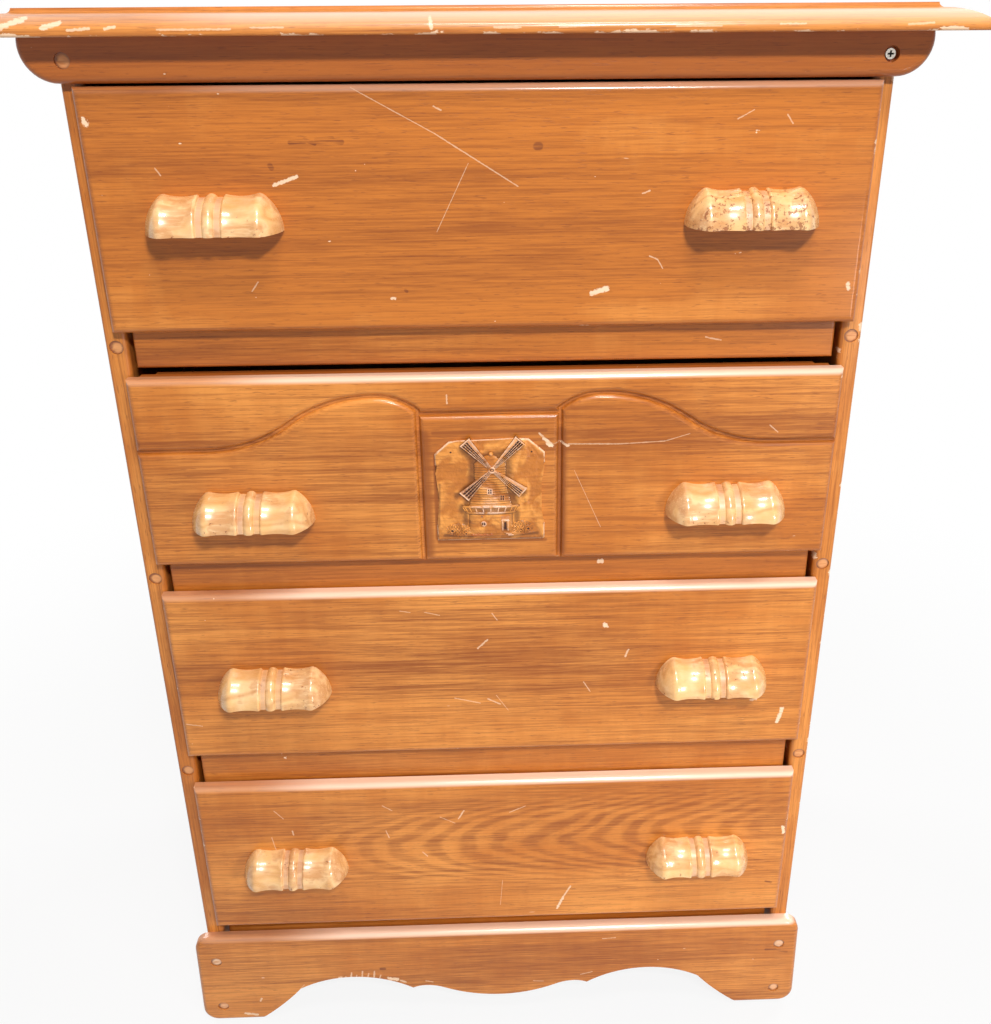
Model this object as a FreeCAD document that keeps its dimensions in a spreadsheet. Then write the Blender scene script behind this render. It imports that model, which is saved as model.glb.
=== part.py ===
import FreeCAD, Part
import math
import os
import Sketcher

# A four-drawer chest. X runs across, the front faces -Y, Z is up, and the floor is Z = 0.
# Lengths are millimetres. The spreadsheet holds every driving size, and each piece is bound to it.

SIZES = {
    # The case
    "case_wide": 680.0,
    "case_deep": 410.0,
    "case_tall": 1095.2,
    "side_thick": 19.0,
    "stile_wide": 19.0,
    "stile_thick": 19.0,
    "stile_inner_round": 5.0,
    "stile_outer_round": 3.0,
    # The top board and its thumbnail edge
    "top_thick": 20.7,
    "top_over_side": 58.0,
    "top_over_face": 40.6,
    "mould_wide": 29.0,
    "mould_drop": 13.0,
    "mould_step": 3.8,
    "mould_nose": 6.5,
    "top_lower_round": 2.0,
    # The boards that are planted on the stiles
    "plant_thick": 12.7,
    "plant_round": 6.0,
    "cornice_tall": 35.0,
    "cornice_end_wide": 28.0,
    "cornice_end_inset": 3.0,
    "base_tall": 131.0,
    "base_over_top": 13.0,
    "base_over_foot": 15.5,
    "base_shoulder": 17.0,
    "foot_corner": 18.0,
    "foot_wide": 66.0,
    "foot_swell": 2.5,
    "scallop_crest": 65.5,
    "scallop_hip": 49.0,
    "scallop_cusp": 44.5,
    "scallop_lobe": 48.0,
    "scallop_drop": 29.0,
    "scallop_hip_in": 53.0,
    "scallop_crest_in": 115.0,
    "scallop_cusp_in": 186.0,
    "scallop_lobe_in": 201.0,
    # The front rails and the drawer runners
    "rail_tall": 41.0,
    "rail_thick": 19.0,
    "top_room": 40.9,
    "bottom_rail_rise": 109.5,
    "rail_setback": 2.0,
    "bottom_rail_setback": 5.0,
    "rail_gap": 5.0,
    "rail_round": 3.0,
    "runner_wide": 32.0,
    "runner_thick": 19.0,
    "runner_stub_wide": 20.0,
    "runner_stub_long": 8.0,
    "runner_stub_thick": 8.0,
    "guide_tall": 12.0,
    "guide_thick": 5.5,
    "housing_deep": 6.0,
    "runner_back_gap": 9.0,
    # The back sheet
    "back_thick": 5.0,
    "back_lap": 9.5,
    "back_rise": 60.0,
    # The foot cut-out of the side panels
    "side_foot_front": 60.0,
    "side_foot_back": 80.0,
    "side_arch_tall": 62.0,
    "side_arch_round": 40.0,
    # Plugs, screws and glides
    "bore_wide": 12.7,
    "stile_bore_deep": 8.0,
    "plant_bore_deep": 6.0,
    "plug_recess": 1.3,
    "plug_clear": 0.1,
    "screw_shank": 4.0,
    "screw_clear": 0.1,
    "screw_head": 8.4,
    "screw_head_tall": 2.4,
    "stile_screw_long": 32.0,
    "plant_screw_long": 24.0,
    "base_screw_high": 96.3,
    "base_screw_low": 24.1,
    "glide_wide": 16.0,
    "glide_proud": 3.0,
    "glide_edge": 1.5,
    "glide_inset": 6.0,
    "glide_nail": 2.4,
    "glide_nail_long": 15.0,
    # The drawer fronts
    "front_thick": 12.7,
    "front_round": 6.0,
    "front_clear": 0.4,
    "front_lap": 3.3,
    "front_1_lap": 7.3,
    "front_1_over": 3.7,
    "front_2_over": -7.1,
    "front_3_over": 6.1,
    "front_4_over": 4.8,
    "front_1_rise": -4.6,
    "front_2_rise": -0.4,
    "front_3_rise": 6.3,
    "front_4_rise": 0.5,
    # The grooves of the second front, cut between rounded lips
    "groove_deep": 4.6,
    "groove_floor_half": 1.2,
    "groove_lip_wide": 4.7,
    "groove_lip_swell": 1.05,
    "bow_end_below": 70.0,
    "bow_crown_below": 19.0,
    "bow_crown_in": 104.0,
    "bow_bend_in": 262.0,
    "bow_end_drop": 14.5,
    "upright_in": 65.5,
    "lintel_below": 37.0,
    # The drawer boxes
    "box_clear_side": 6.7,
    "box_clear_top": 7.1,
    "box_clear_run": 0.5,
    "box_thick": 12.7,
    "box_side_clear": 42.7,
    "box_long": 380.0,
    "box_joint_deep": 6.0,
    "box_bottom_rise": 9.5,
    "box_bottom_thick": 5.0,
    "box_back_inset": 6.0,
    # The pulls
    "pull_long": 114.4,
    "pull_radius": 31.0,
    "pull_bead_half": 4.8,
    "pull_groove_wide": 5.5,
    "pull_groove_radius": 28.0,
    "pull_shoulder_radius": 30.3,
    "pull_waist_sag": 1.9,
    "pull_dome_long": 13.8,
    "pull_ridge_round": 6.0,
    "pull_ridge_long": 5.5,
    "pull_ridge_rise": 1.4,
    "pull_ridge_fall": 0.25,
    "pull_screw_apart": 50.0,
    "pull_screw_rise": 12.0,
    "pull_screw_long": 37.0,
    "pull_1_from_side": 113.6,
    "pull_2_from_side": 116.5,
    "pull_3_from_side": 116.5,
    "pull_4_from_side": 116.5,
    "pull_1_rise": 88.7,
    "pull_2_rise": 48.0,
    "pull_3_rise": 80.5,
    "pull_4_rise": 84.5,
    # The relief plaque
    "plaque_wide": 102.8,
    "plaque_tall": 104.8,
    "plaque_thick": 2.8,
    "plaque_corner": 14.4,
    "plaque_waist": 3.0,
    "plaque_foot_tall": 16.0,
    "plaque_waist_low": 18.0,
    "plaque_waist_high": 72.5,
    "plaque_head_low": 79.5,
    "plaque_rise": 23.0,
    "relief_tall": 1.6,
    "bank_long": 83.0,
    "bank_tall": 15.0,
    "bank_rise": 6.0,
    "store_wide": 41.4,
    "store_rise": 9.5,
    "gallery_wide": 54.8,
    "gallery_tall": 6.4,
    "gallery_rise": 30.1,
    "tower_wide": 40.8,
    "tower_neck": 28.0,
    "tower_rise": 70.0,
    "cap_tall": 16.5,
    "cap_over": 1.0,
    "finial_radius": 1.8,
    "hub_rise": 74.5,
    "hub_radius": 3.2,
    "hub_aside": 1.8,
    "sail_long": 38.0,
    "sail_wide": 11.0,
    "sail_root": 3.0,
    "sail_thick": 1.0,
}

DRAWERS = (1, 2, 3, 4)
PLAQUE_DRAWER = 2
HANDS = ((-1, "left"), (1, "right"))
OVERRUN_SHARE = 0.1
FALL_JOINT_SHARE = 0.25
DIAGONAL_SHARE = math.sqrt(0.5)
PARTS = "parts"

doc = FreeCAD.newDocument("chest_of_drawers")
sheet = doc.addObject("Spreadsheet::Sheet", "Sizes")
for row, (name, value) in enumerate(SIZES.items(), start=1):
    sheet.set("A%d" % row, name)
    sheet.set("B%d" % row, str(value))
    sheet.setAlias("B%d" % row, name)
doc.recompute()


class Size:
    """A length known both as a number and as an expression on the spreadsheet."""

    def __init__(self, value, text=None):
        self.value = float(value)
        self.text = text if text else "%r" % float(value)

    def __add__(self, other):
        return Size(self.value + size(other).value, "(%s + %s)" % (self.text, size(other).text))

    def __sub__(self, other):
        return Size(self.value - size(other).value, "(%s - %s)" % (self.text, size(other).text))

    def __mul__(self, other):
        return Size(self.value * size(other).value, "(%s * %s)" % (self.text, size(other).text))

    def __truediv__(self, other):
        return Size(self.value / size(other).value, "(%s / %s)" % (self.text, size(other).text))

    def __radd__(self, other):
        return size(other) + self

    def __rsub__(self, other):
        return size(other) - self

    def __rmul__(self, other):
        return size(other) * self

    def __neg__(self):
        return Size(-self.value, "(0 - %s)" % self.text)


def size(thing):
    """The thing as a Size: a plain number is its own expression."""
    return thing if isinstance(thing, Size) else Size(thing)


def named(name):
    """A driving size of the spreadsheet."""
    return Size(SIZES[name], "Sizes.%s" % name)


# Places that many pieces share. X is from the middle, Y from the faces of the stiles and Z from the
# case's foot, until a piece is placed: then `face` and `foot` are added.

ZERO = Size(0)
plant_thick = named("plant_thick")
case_deep = named("case_deep")
case_tall = named("case_tall")
front_thick = named("front_thick")
box_thick = named("box_thick")
joint_deep = named("box_joint_deep")
front_back = -named("front_clear")
front_face = front_back - front_thick
face = (named("pull_radius") - front_face - case_deep) / 2
foot = named("glide_proud")
case_half = named("case_wide") / 2
inner_half = case_half - named("side_thick")
opening_half = case_half - named("stile_wide")
plug_x = case_half - named("stile_wide") / 2
back_inside = case_deep - named("back_thick")
rail_half = opening_half - named("rail_gap")
box_half = inner_half - named("box_clear_side")
box_inner_half = box_half - box_thick
box_front_back = front_back + box_thick
box_end = front_back + named("box_long")
box_back_end = box_end - named("box_back_inset")
bore_radius = named("bore_wide") / 2
shank_radius = named("screw_shank") / 2
shank_bore = shank_radius + named("screw_clear")
overrun = OVERRUN_SHARE * plant_thick
rail_pitch = (case_tall - named("bottom_rail_rise") - named("top_room")) / len(DRAWERS)
opening_tall = rail_pitch - named("rail_tall")


def rail_low(n):
    """The lower edge of the rail under drawer n, where drawer 1 is the top one."""
    return named("bottom_rail_rise") + (len(DRAWERS) - n) * rail_pitch


def rail_high(n):
    return rail_low(n) + named("rail_tall")


def rail_front(n):
    return named("bottom_rail_setback") if n == DRAWERS[-1] else named("rail_setback")


def rail_back(n):
    return rail_front(n) + named("rail_thick")


def front_low(n):
    return rail_high(n) + named("front_%d_rise" % n)


def front_high(n):
    return rail_high(n) + opening_tall + named("front_%d_over" % n)


def front_half(n):
    return opening_half + (named("front_1_lap") if n == 1 else named("front_lap"))


def pull_x(n):
    return case_half - named("pull_%d_from_side" % n)


def pull_low(n):
    return front_low(n) + named("pull_%d_rise" % n)


def box_low(n):
    return rail_high(n) + named("box_clear_run")


def box_front_high(n):
    return rail_high(n) + opening_tall - named("box_clear_top")


def box_side_high(n):
    return rail_high(n) + opening_tall - named("box_side_clear")


def pull_screw_places(n):
    """The (x, z) places of a drawer's four pull screws."""
    places = []
    for hand, _ in HANDS:
        for side in (-1, 1):
            x = hand * pull_x(n) + side * named("pull_screw_apart") / 2
            places.append((x, pull_low(n) + named("pull_screw_rise")))
    return places


# Radii of arcs from their spans

def level_arc(across, rise):
    """The radius of an arc that starts level and spans `across` by `rise`."""
    return (across * across + rise * rise) / (2 * rise)


def swell_arc(across, rise, swell):
    """The radius of an arc whose chord spans `across` by `rise` and whose middle stands off by `swell`."""
    return (across * across + rise * rise) / (8 * swell) + swell / 2


def two_arc_quarter(wide, drop, nose):
    """A quarter oval of two tangent arcs: its large radius, and the span of the large arc."""
    large = ((wide - nose) * (wide - nose) + drop * drop - nose * nose) / (2 * (drop - nose))
    return large, large * (wide - nose) / (large - nose), large * (drop - nose) / (large - nose)


# Document helpers

def bind(thing, **properties):
    """Binds properties of an object to sizes."""
    for name, length in properties.items():
        thing.setExpression(name, size(length).text)
    return thing


def place(thing, x=ZERO, y=ZERO, z=ZERO):
    """Binds where an object's own origin lies in the chest."""
    for axis, length in (("x", size(x)), ("y", face + y), ("z", foot + z)):
        thing.setExpression("Placement.Base." + axis, length.text)
    return thing


def block(name, x0, x1, y0, y1, z0, z1):
    """A square-edged board between six faces."""
    board = doc.addObject("Part::Box", name)
    bind(board, Length=size(x1) - x0, Width=size(y1) - y0, Height=size(z1) - z0)
    return place(board, x0, y0, z0)


AXIS_TURNS = {
    "x": FreeCAD.Rotation(FreeCAD.Vector(0, 1, 0), 90),
    "y": FreeCAD.Rotation(FreeCAD.Vector(1, 0, 0), -90),
    "z": FreeCAD.Rotation(),
}


def rod(name, axis, radius, start, end, x=ZERO, y=ZERO, z=ZERO):
    """A cylinder along an axis, from start to end, through a place given by the other two axes."""
    cylinder = doc.addObject("Part::Cylinder", name)
    cylinder.Placement.Rotation = AXIS_TURNS[axis]
    bind(cylinder, Radius=radius, Height=size(end) - start)
    centre = {"x": x, "y": y, "z": z}
    centre[axis] = start
    return place(cylinder, **centre)


def gather(name, members):
    """Separate solids in one object."""
    group = doc.addObject("Part::Compound", name)
    group.Links = members
    return group


def fuse(name, members):
    union = doc.addObject("Part::MultiFuse", name)
    union.Shapes = members
    return union


def cut(name, base, tools):
    """The base less the tools, which don't meet each other."""
    result = doc.addObject("Part::Cut", name)
    result.Base = base
    result.Tool = tools[0] if len(tools) == 1 else gather(name + "Tools", tools)
    return result


FINISHED = {}


def finish(label, thing):
    """Gives a finished sub-part the label that names its file."""
    thing.Label = label
    FINISHED[label] = thing


# Sketches

def origin_plane(body, role):
    for feature in body.Origin.OriginFeatures:
        if feature.Role == role:
            return feature
    raise ValueError("no origin plane " + role)


def new_sketch(body, name, role, offset=None):
    """A sketch on a plane of the body's origin, moved along the plane's normal."""
    sketch = body.newObject("Sketcher::SketchObject", name)
    sketch.AttachmentSupport = (origin_plane(body, role), [""])
    sketch.MapMode = "FlatFace"
    if offset is not None:
        sketch.setExpression(".AttachmentOffset.Base.z", size(offset).text)
    return sketch


def pin_point(sketch, geometry, position, u, v):
    """Ties a point to its two sizes. A zero size ties it to the axis."""
    for kind, axis, length in (("DistanceX", -2, size(u)), ("DistanceY", -1, size(v))):
        if length.value == 0:
            sketch.addConstraint(Sketcher.Constraint("PointOnObject", geometry, position, axis))
        else:
            index = sketch.addConstraint(Sketcher.Constraint(kind, geometry, position, length.value))
            sketch.setExpression("Constraints[%d]" % index, length.text)


def pin_radius(sketch, geometry, radius):
    positive = radius if radius.value > 0 else -radius
    index = sketch.addConstraint(Sketcher.Constraint("Radius", geometry, positive.value))
    sketch.setExpression("Constraints[%d]" % index, positive.text)


def arc_between(start, end, radius):
    """The short arc from start to end. It turns left where the radius is positive."""
    chord = end - start
    half = chord.Length / 2
    stand_off = math.sqrt(max(radius * radius - half * half, 0.0))
    left = FreeCAD.Vector(-chord.y, chord.x, 0).normalize() * math.copysign(1, radius)
    middle = start + chord / 2 + left * (stand_off - abs(radius))
    return Part.Arc(start, middle, end) if radius > 0 else Part.Arc(end, middle, start)


def draw_path(sketch, corners, closed=True):
    """Draws an outline. A corner is (u, v), or (u, v, radius) where an arc leads to the next corner."""
    points = [FreeCAD.Vector(size(corner[0]).value, size(corner[1]).value, 0) for corner in corners]
    count = len(corners) if closed else len(corners) - 1
    ends = []
    for index in range(count):
        start = points[index]
        end = points[(index + 1) % len(points)]
        radius = size(corners[index][2]) if len(corners[index]) > 2 else None
        curve = arc_between(start, end, radius.value) if radius else Part.LineSegment(start, end)
        geometry = sketch.addGeometry(curve, False)
        drawn = sketch.Geometry[geometry]
        forward = drawn.StartPoint.distanceToPoint(start) < drawn.EndPoint.distanceToPoint(start)
        ends.append((geometry, 1, 2) if forward else (geometry, 2, 1))
    for index, (geometry, first, last) in enumerate(ends):
        if index + 1 < len(ends) or closed:
            following = ends[(index + 1) % len(ends)]
            meet = Sketcher.Constraint("Coincident", geometry, last, following[0], following[1])
            sketch.addConstraint(meet)
        pin_point(sketch, geometry, first, corners[index][0], corners[index][1])
        if len(corners[index]) > 2:
            pin_radius(sketch, geometry, size(corners[index][2]))
    if not closed:
        pin_point(sketch, ends[-1][0], ends[-1][2], corners[-1][0], corners[-1][1])
    return sketch


def draw_box(sketch, u0, u1, v0, v1):
    return draw_path(sketch, [(u0, v0), (u1, v0), (u1, v1), (u0, v1)])


def draw_circle(sketch, u, v, radius):
    centre = FreeCAD.Vector(size(u).value, size(v).value, 0)
    circle = Part.Circle(centre, FreeCAD.Vector(0, 0, 1), size(radius).value)
    geometry = sketch.addGeometry(circle, False)
    pin_point(sketch, geometry, 3, u, v)
    pin_radius(sketch, geometry, size(radius))
    return sketch


# Features of a body

def new_body(name):
    return doc.addObject("PartDesign::Body", name)


def pad(body, name, sketch, long):
    """Raises a sketch along its plane's normal."""
    feature = body.newObject("PartDesign::Pad", name)
    feature.Profile = sketch
    return bind(feature, Length=long)


def pocket(body, name, sketch, deep, along_normal=False):
    """Cuts a sketch away to a depth, against its plane's normal or along it."""
    feature = body.newObject("PartDesign::Pocket", name)
    feature.Profile = sketch
    feature.Reversed = along_normal
    return bind(feature, Length=deep)


def pocket_through(body, name, sketch):
    """Cuts a sketch away through the whole body, both ways."""
    feature = body.newObject("PartDesign::Pocket", name)
    feature.Profile = sketch
    feature.Type = "ThroughAll"
    feature.SideType = "Symmetric"
    return feature


def round_edges(body, name, base, radius, wanted):
    """Rounds the edges of the last feature that the test wants."""
    doc.recompute()
    names = ["Edge%d" % index for index, edge in enumerate(base.Shape.Edges, start=1) if wanted(edge)]
    if not names:
        raise ValueError("no edge to round: " + name)
    feature = body.newObject("PartDesign::Fillet", name)
    feature.Base = (base, names)
    return bind(feature, Radius=radius)


NEAR = 0.001


def lies_at(edge, axis, place_on_axis):
    """True where a whole edge lies on the plane where the axis has that place."""
    box = edge.BoundBox
    spans = {"x": (box.XMin, box.XMax), "y": (box.YMin, box.YMax), "z": (box.ZMin, box.ZMax)}
    low, high = spans[axis]
    value = size(place_on_axis).value
    return abs(low - value) < NEAR and abs(high - value) < NEAR


# The top board: one profile cut along the front and both ends, so that the cuts meet in mitres

def thumbnail_profile(hand, reach):
    """The outline that the moulding cutter removes at an edge `reach` from the middle."""
    thick = named("top_thick")
    wide = named("mould_wide")
    drop = named("mould_drop")
    step = named("mould_step")
    nose = named("mould_nose")
    large, across, down = two_arc_quarter(wide, drop, nose)
    inner = reach - wide - step
    return [
        (hand * inner, thick + overrun),
        (hand * (reach + overrun), thick + overrun),
        (hand * (reach + overrun), thick - step - drop),
        (hand * reach, thick - step - drop, hand * nose),
        (hand * (reach - wide + across), thick - step - down, hand * large),
        (hand * (reach - wide), thick - step, -hand * step),
        (hand * inner, thick),
    ]


def top_board():
    half = case_half + named("top_over_side")
    over = named("top_over_face")
    body = new_body("TopBoard")
    plan = draw_box(new_sketch(body, "TopPlan", "XY_Plane"), -half, half, -over, case_deep)
    pad(body, "TopPad", plan, named("top_thick"))
    ends = new_sketch(body, "TopEndProfile", "XZ_Plane")
    for hand, _ in HANDS:
        draw_path(ends, thumbnail_profile(hand, half))
    pocket_through(body, "TopEnds", ends)
    front = draw_path(new_sketch(body, "TopFrontProfile", "YZ_Plane"), thumbnail_profile(-1, over))
    moulded = pocket_through(body, "TopFront", front)

    def lower_edge(edge):
        return lies_at(edge, "z", ZERO) and not lies_at(edge, "y", case_deep)

    round_edges(body, "TopLowerRound", moulded, named("top_lower_round"), lower_edge)
    place(body, z=case_tall)
    finish("top_board", body)


# The boards that are planted on the faces of the stiles

def screw_bores(body, name, places, front, thick, deep):
    """Wells for plugs in a board's face, which stands `front` forward, and shank holes through it."""
    wells = new_sketch(body, name + "Wells", "XZ_Plane", front)
    shanks = new_sketch(body, name + "Shanks", "XZ_Plane", front)
    for x, z in places:
        draw_circle(wells, x, z, bore_radius)
        draw_circle(shanks, x, z, shank_bore)
    pocket(body, name + "WellCut", wells, deep)
    pocket(body, name + "ShankCut", shanks, thick)


def cornice_board():
    tall = named("cornice_tall")
    flat = case_half - named("cornice_end_inset")
    wide = named("cornice_end_wide")
    end = level_arc(wide, tall)
    body = new_body("CorniceBoard")
    outline = [(-flat, ZERO), (flat, ZERO, end), (flat + wide, tall), (-flat - wide, tall, end)]
    profile = draw_path(new_sketch(body, "CorniceOutline", "XZ_Plane"), outline)
    blank = pad(body, "CornicePad", profile, plant_thick)

    def front_edge(edge):
        return lies_at(edge, "y", -plant_thick) and not lies_at(edge, "z", tall)

    round_edges(body, "CorniceRound", blank, named("plant_round"), front_edge)
    places = [(hand * plug_x, tall / 2) for hand, _ in HANDS]
    screw_bores(body, "Cornice", places, plant_thick, plant_thick, named("plant_bore_deep"))
    place(body, z=case_tall - tall)
    finish("cornice_board", body)


def scallop_outline(toe):
    """The cut-out between the feet, as arcs from the right toe to the left one."""
    crest = named("scallop_crest")
    hip = named("scallop_hip")
    cusp = named("scallop_cusp")
    lobe = named("scallop_lobe")
    drop = named("scallop_drop")
    hip_x = toe - named("scallop_hip_in")
    crest_x = toe - named("scallop_crest_in")
    cusp_x = toe - named("scallop_cusp_in")
    lobe_x = toe - named("scallop_lobe_in")
    joint_x = (1 - FALL_JOINT_SHARE) * lobe_x
    joint = lobe - FALL_JOINT_SHARE * (lobe - drop)
    right = [
        (toe, ZERO, -swell_arc(toe - hip_x, hip, named("foot_swell"))),
        (hip_x, hip, level_arc(hip_x - crest_x, crest - hip)),
        (crest_x, crest, level_arc(crest_x - cusp_x, crest - cusp)),
        (cusp_x, cusp, level_arc(cusp_x - lobe_x, lobe - cusp)),
        (lobe_x, lobe, level_arc(lobe_x - joint_x, lobe - joint)),
        (joint_x, joint, -level_arc(joint_x, joint - drop)),
    ]
    left = [(-x, z, right[index - 1][2]) for index, (x, z, _) in enumerate(right) if index]
    middle = [(ZERO, drop, right[-1][2])]
    return [(toe, -overrun)] + right + middle + left[::-1] + [(-toe, ZERO), (-toe, -overrun)]


def base_board():
    tall = named("base_tall")
    shoulder = named("base_shoulder")
    corner = named("foot_corner")
    top_half = case_half + named("base_over_top")
    foot_half = case_half + named("base_over_foot")
    body = new_body("BaseBoard")
    outline = [
        (corner - foot_half, ZERO),
        (foot_half - corner, ZERO, corner),
        (foot_half, corner),
        (top_half, tall - shoulder, shoulder),
        (top_half - shoulder, tall),
        (shoulder - top_half, tall, shoulder),
        (-top_half, tall - shoulder),
        (-foot_half, corner, corner),
    ]
    profile = draw_path(new_sketch(body, "BaseOutline", "XZ_Plane"), outline)
    blank = pad(body, "BasePad", profile, plant_thick)

    def front_edge(edge):
        return lies_at(edge, "y", -plant_thick) and not lies_at(edge, "z", ZERO)

    round_edges(body, "BaseRound", blank, named("plant_round"), front_edge)
    toe = foot_half - named("foot_wide")
    scallop = draw_path(new_sketch(body, "Scallop", "XZ_Plane"), scallop_outline(toe))
    pocket_through(body, "ScallopCut", scallop)
    heights = (named("base_screw_high"), named("base_screw_low"))
    places = [(hand * plug_x, z) for hand, _ in HANDS for z in heights]
    screw_bores(body, "Base", places, plant_thick, plant_thick, named("plant_bore_deep"))
    place(body)
    finish("base_board", body)


# The posts and panels of the case

def stile_screw_heights():
    """The screws of a stile are level with the middles of the three upper rails."""
    return [rail_low(n) + named("rail_tall") / 2 for n in DRAWERS[:-1]]


def planted_screw_heights():
    """The screws that hold the cornice and the base to a stile."""
    cornice_z = case_tall - named("cornice_tall") / 2
    return [cornice_z, named("base_screw_high"), named("base_screw_low")]


def stile(hand, side):
    thick = named("stile_thick")
    inner_round = named("stile_inner_round")
    outer_round = named("stile_outer_round")
    body = new_body("Stile" + side.title())
    plan = [
        (hand * (opening_half + inner_round), ZERO),
        (hand * (case_half - outer_round), ZERO, hand * outer_round),
        (hand * case_half, outer_round),
        (hand * case_half, thick),
        (hand * opening_half, thick),
        (hand * opening_half, inner_round, hand * inner_round),
    ]
    profile = draw_path(new_sketch(body, "StilePlan" + side, "XY_Plane"), plan)
    pad(body, "StilePad" + side, profile, case_tall)
    places = [(hand * plug_x, z) for z in stile_screw_heights()]
    screw_bores(body, "Stile" + side, places, ZERO, thick, named("stile_bore_deep"))
    through = new_sketch(body, "StileThrough" + side, "XZ_Plane")
    for z in planted_screw_heights():
        draw_circle(through, hand * plug_x, z, shank_bore)
    pocket(body, "StileThroughCut" + side, through, thick)
    place(body)
    finish("stile_" + side, body)


def side_panel(hand, side):
    front = named("stile_thick")
    arch_front = front + named("side_foot_front")
    arch_back = case_deep - named("side_foot_back")
    arch = named("side_arch_tall")
    bend = named("side_arch_round")
    body = new_body("SidePanel" + side.title())
    outline = [
        (front, ZERO),
        (arch_front, ZERO),
        (arch_front, arch - bend, -bend),
        (arch_front + bend, arch),
        (arch_back - bend, arch, -bend),
        (arch_back, arch - bend),
        (arch_back, ZERO),
        (case_deep, ZERO),
        (case_deep, case_tall),
        (front, case_tall),
    ]
    left_face = inner_half if hand > 0 else -case_half
    profile = draw_path(new_sketch(body, "PanelOutline" + side, "YZ_Plane", left_face), outline)
    pad(body, "PanelPad" + side, profile, named("side_thick"))
    housings = new_sketch(body, "Housings" + side, "YZ_Plane", hand * inner_half)
    for n in DRAWERS:
        low = rail_high(n) - named("runner_thick")
        draw_box(housings, front, back_inside - named("runner_back_gap"), low, rail_high(n))
    pocket(body, "HousingCut" + side, housings, named("housing_deep"), along_normal=hand > 0)
    rabbet = new_sketch(body, "BackRabbet" + side, "YZ_Plane", hand * inner_half)
    draw_box(rabbet, back_inside, case_deep, named("back_rise"), case_tall)
    pocket(body, "RabbetCut" + side, rabbet, named("back_lap"), along_normal=hand > 0)
    pilots = new_sketch(body, "Pilots" + side, "XZ_Plane", -front)
    for z in stile_screw_heights():
        draw_circle(pilots, hand * plug_x, z, shank_bore)
    reach = named("stile_bore_deep") + named("stile_screw_long") - front + named("plug_clear")
    pocket(body, "PilotCut" + side, pilots, reach)
    nails = new_sketch(body, "NailHoles" + side, "XY_Plane")
    for y in glide_places():
        draw_circle(nails, hand * plug_x, y, named("glide_nail") / 2 + named("screw_clear"))
    nail_reach = named("glide_nail_long") + named("plug_clear")
    pocket(body, "NailCut" + side, nails, nail_reach, along_normal=True)
    place(body)
    finish("side_panel_" + side, body)


def back_panel():
    half = inner_half + named("back_lap")
    board = block("BackPanel", -half, half, back_inside, case_deep, named("back_rise"), case_tall)
    finish("back_panel", board)


# The front rails and the runners behind them

def stub_box(hand, n):
    """The span of a runner's stub: x0, x1, z0, z1."""
    near = hand * (inner_half - named("runner_wide"))
    far = near + hand * named("runner_stub_wide")
    middle = rail_high(n) - named("runner_thick") / 2
    half = named("runner_stub_thick") / 2
    x0, x1 = (near, far) if hand > 0 else (far, near)
    return x0, x1, middle - half, middle + half


def rail(n, label):
    body = new_body("Rail%d" % n)
    profile = new_sketch(body, "RailProfile%d" % n, "YZ_Plane", -rail_half)
    draw_box(profile, rail_front(n), rail_back(n), rail_low(n), rail_high(n))
    blank = pad(body, "RailPad%d" % n, profile, 2 * rail_half)

    def front_edge(edge):
        return lies_at(edge, "y", rail_front(n))

    round_edges(body, "RailRound%d" % n, blank, named("rail_round"), front_edge)
    mortises = new_sketch(body, "Mortises%d" % n, "XZ_Plane", -rail_back(n))
    for hand, _ in HANDS:
        draw_box(mortises, *stub_box(hand, n))
    pocket(body, "MortiseCut%d" % n, mortises, named("runner_stub_long"), along_normal=True)
    place(body)
    finish(label, body)


def runner(n, hand, side):
    high = rail_high(n)
    low = high - named("runner_thick")
    end = back_inside - named("runner_back_gap")
    near = hand * (inner_half - named("runner_wide"))
    guide = hand * (inner_half - named("guide_thick"))
    wall = hand * inner_half
    key = side + str(n)
    body = new_body("Runner" + key)
    section = [
        (near, low),
        (wall + hand * named("housing_deep"), low),
        (wall + hand * named("housing_deep"), high),
        (wall, high),
        (wall, high + named("guide_tall")),
        (guide, high + named("guide_tall")),
        (guide, high),
        (near, high),
    ]
    shelf = draw_path(new_sketch(body, "RunnerSection" + key, "XZ_Plane", -end), section)
    pad(body, "RunnerPad" + key, shelf, end - rail_back(n))
    stub = draw_box(new_sketch(body, "Stub" + key, "XZ_Plane", -rail_back(n)), *stub_box(hand, n))
    pad(body, "StubPad" + key, stub, named("runner_stub_long"))
    place(body)
    finish("runner_%s_%d" % (side, n), body)


# Plugs, screws and glides

def screw(name, head_y, x, z, long, forward):
    """A screw whose head seats at head_y. Its shank runs forward, or else to the back."""
    tall = named("screw_head_tall")
    head_radius = named("screw_head") / 2
    if forward:
        head = rod(name + "Head", "y", head_radius, head_y, head_y + tall, x=x, z=z)
        shank = rod(name + "Shank", "y", shank_radius, head_y - long, head_y, x=x, z=z)
    else:
        head = rod(name + "Head", "y", head_radius, head_y - tall, head_y, x=x, z=z)
        shank = rod(name + "Shank", "y", shank_radius, head_y, head_y + long, x=x, z=z)
    return fuse(name, [head, shank])


def plugged_places():
    """The plugged screws: hand, height, the face entered, the well's depth, the length, plugged or not.

    The plug over the cornice's right screw is missing, so its head shows.
    """
    places = []
    for hand, _ in HANDS:
        for z in stile_screw_heights():
            places.append((hand, z, ZERO, named("stile_bore_deep"), named("stile_screw_long"), True))
        for index, z in enumerate(planted_screw_heights()):
            plugged = hand < 0 or index > 0
            deep = named("plant_bore_deep")
            places.append((hand, z, -plant_thick, deep, named("plant_screw_long"), plugged))
    return places


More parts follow.
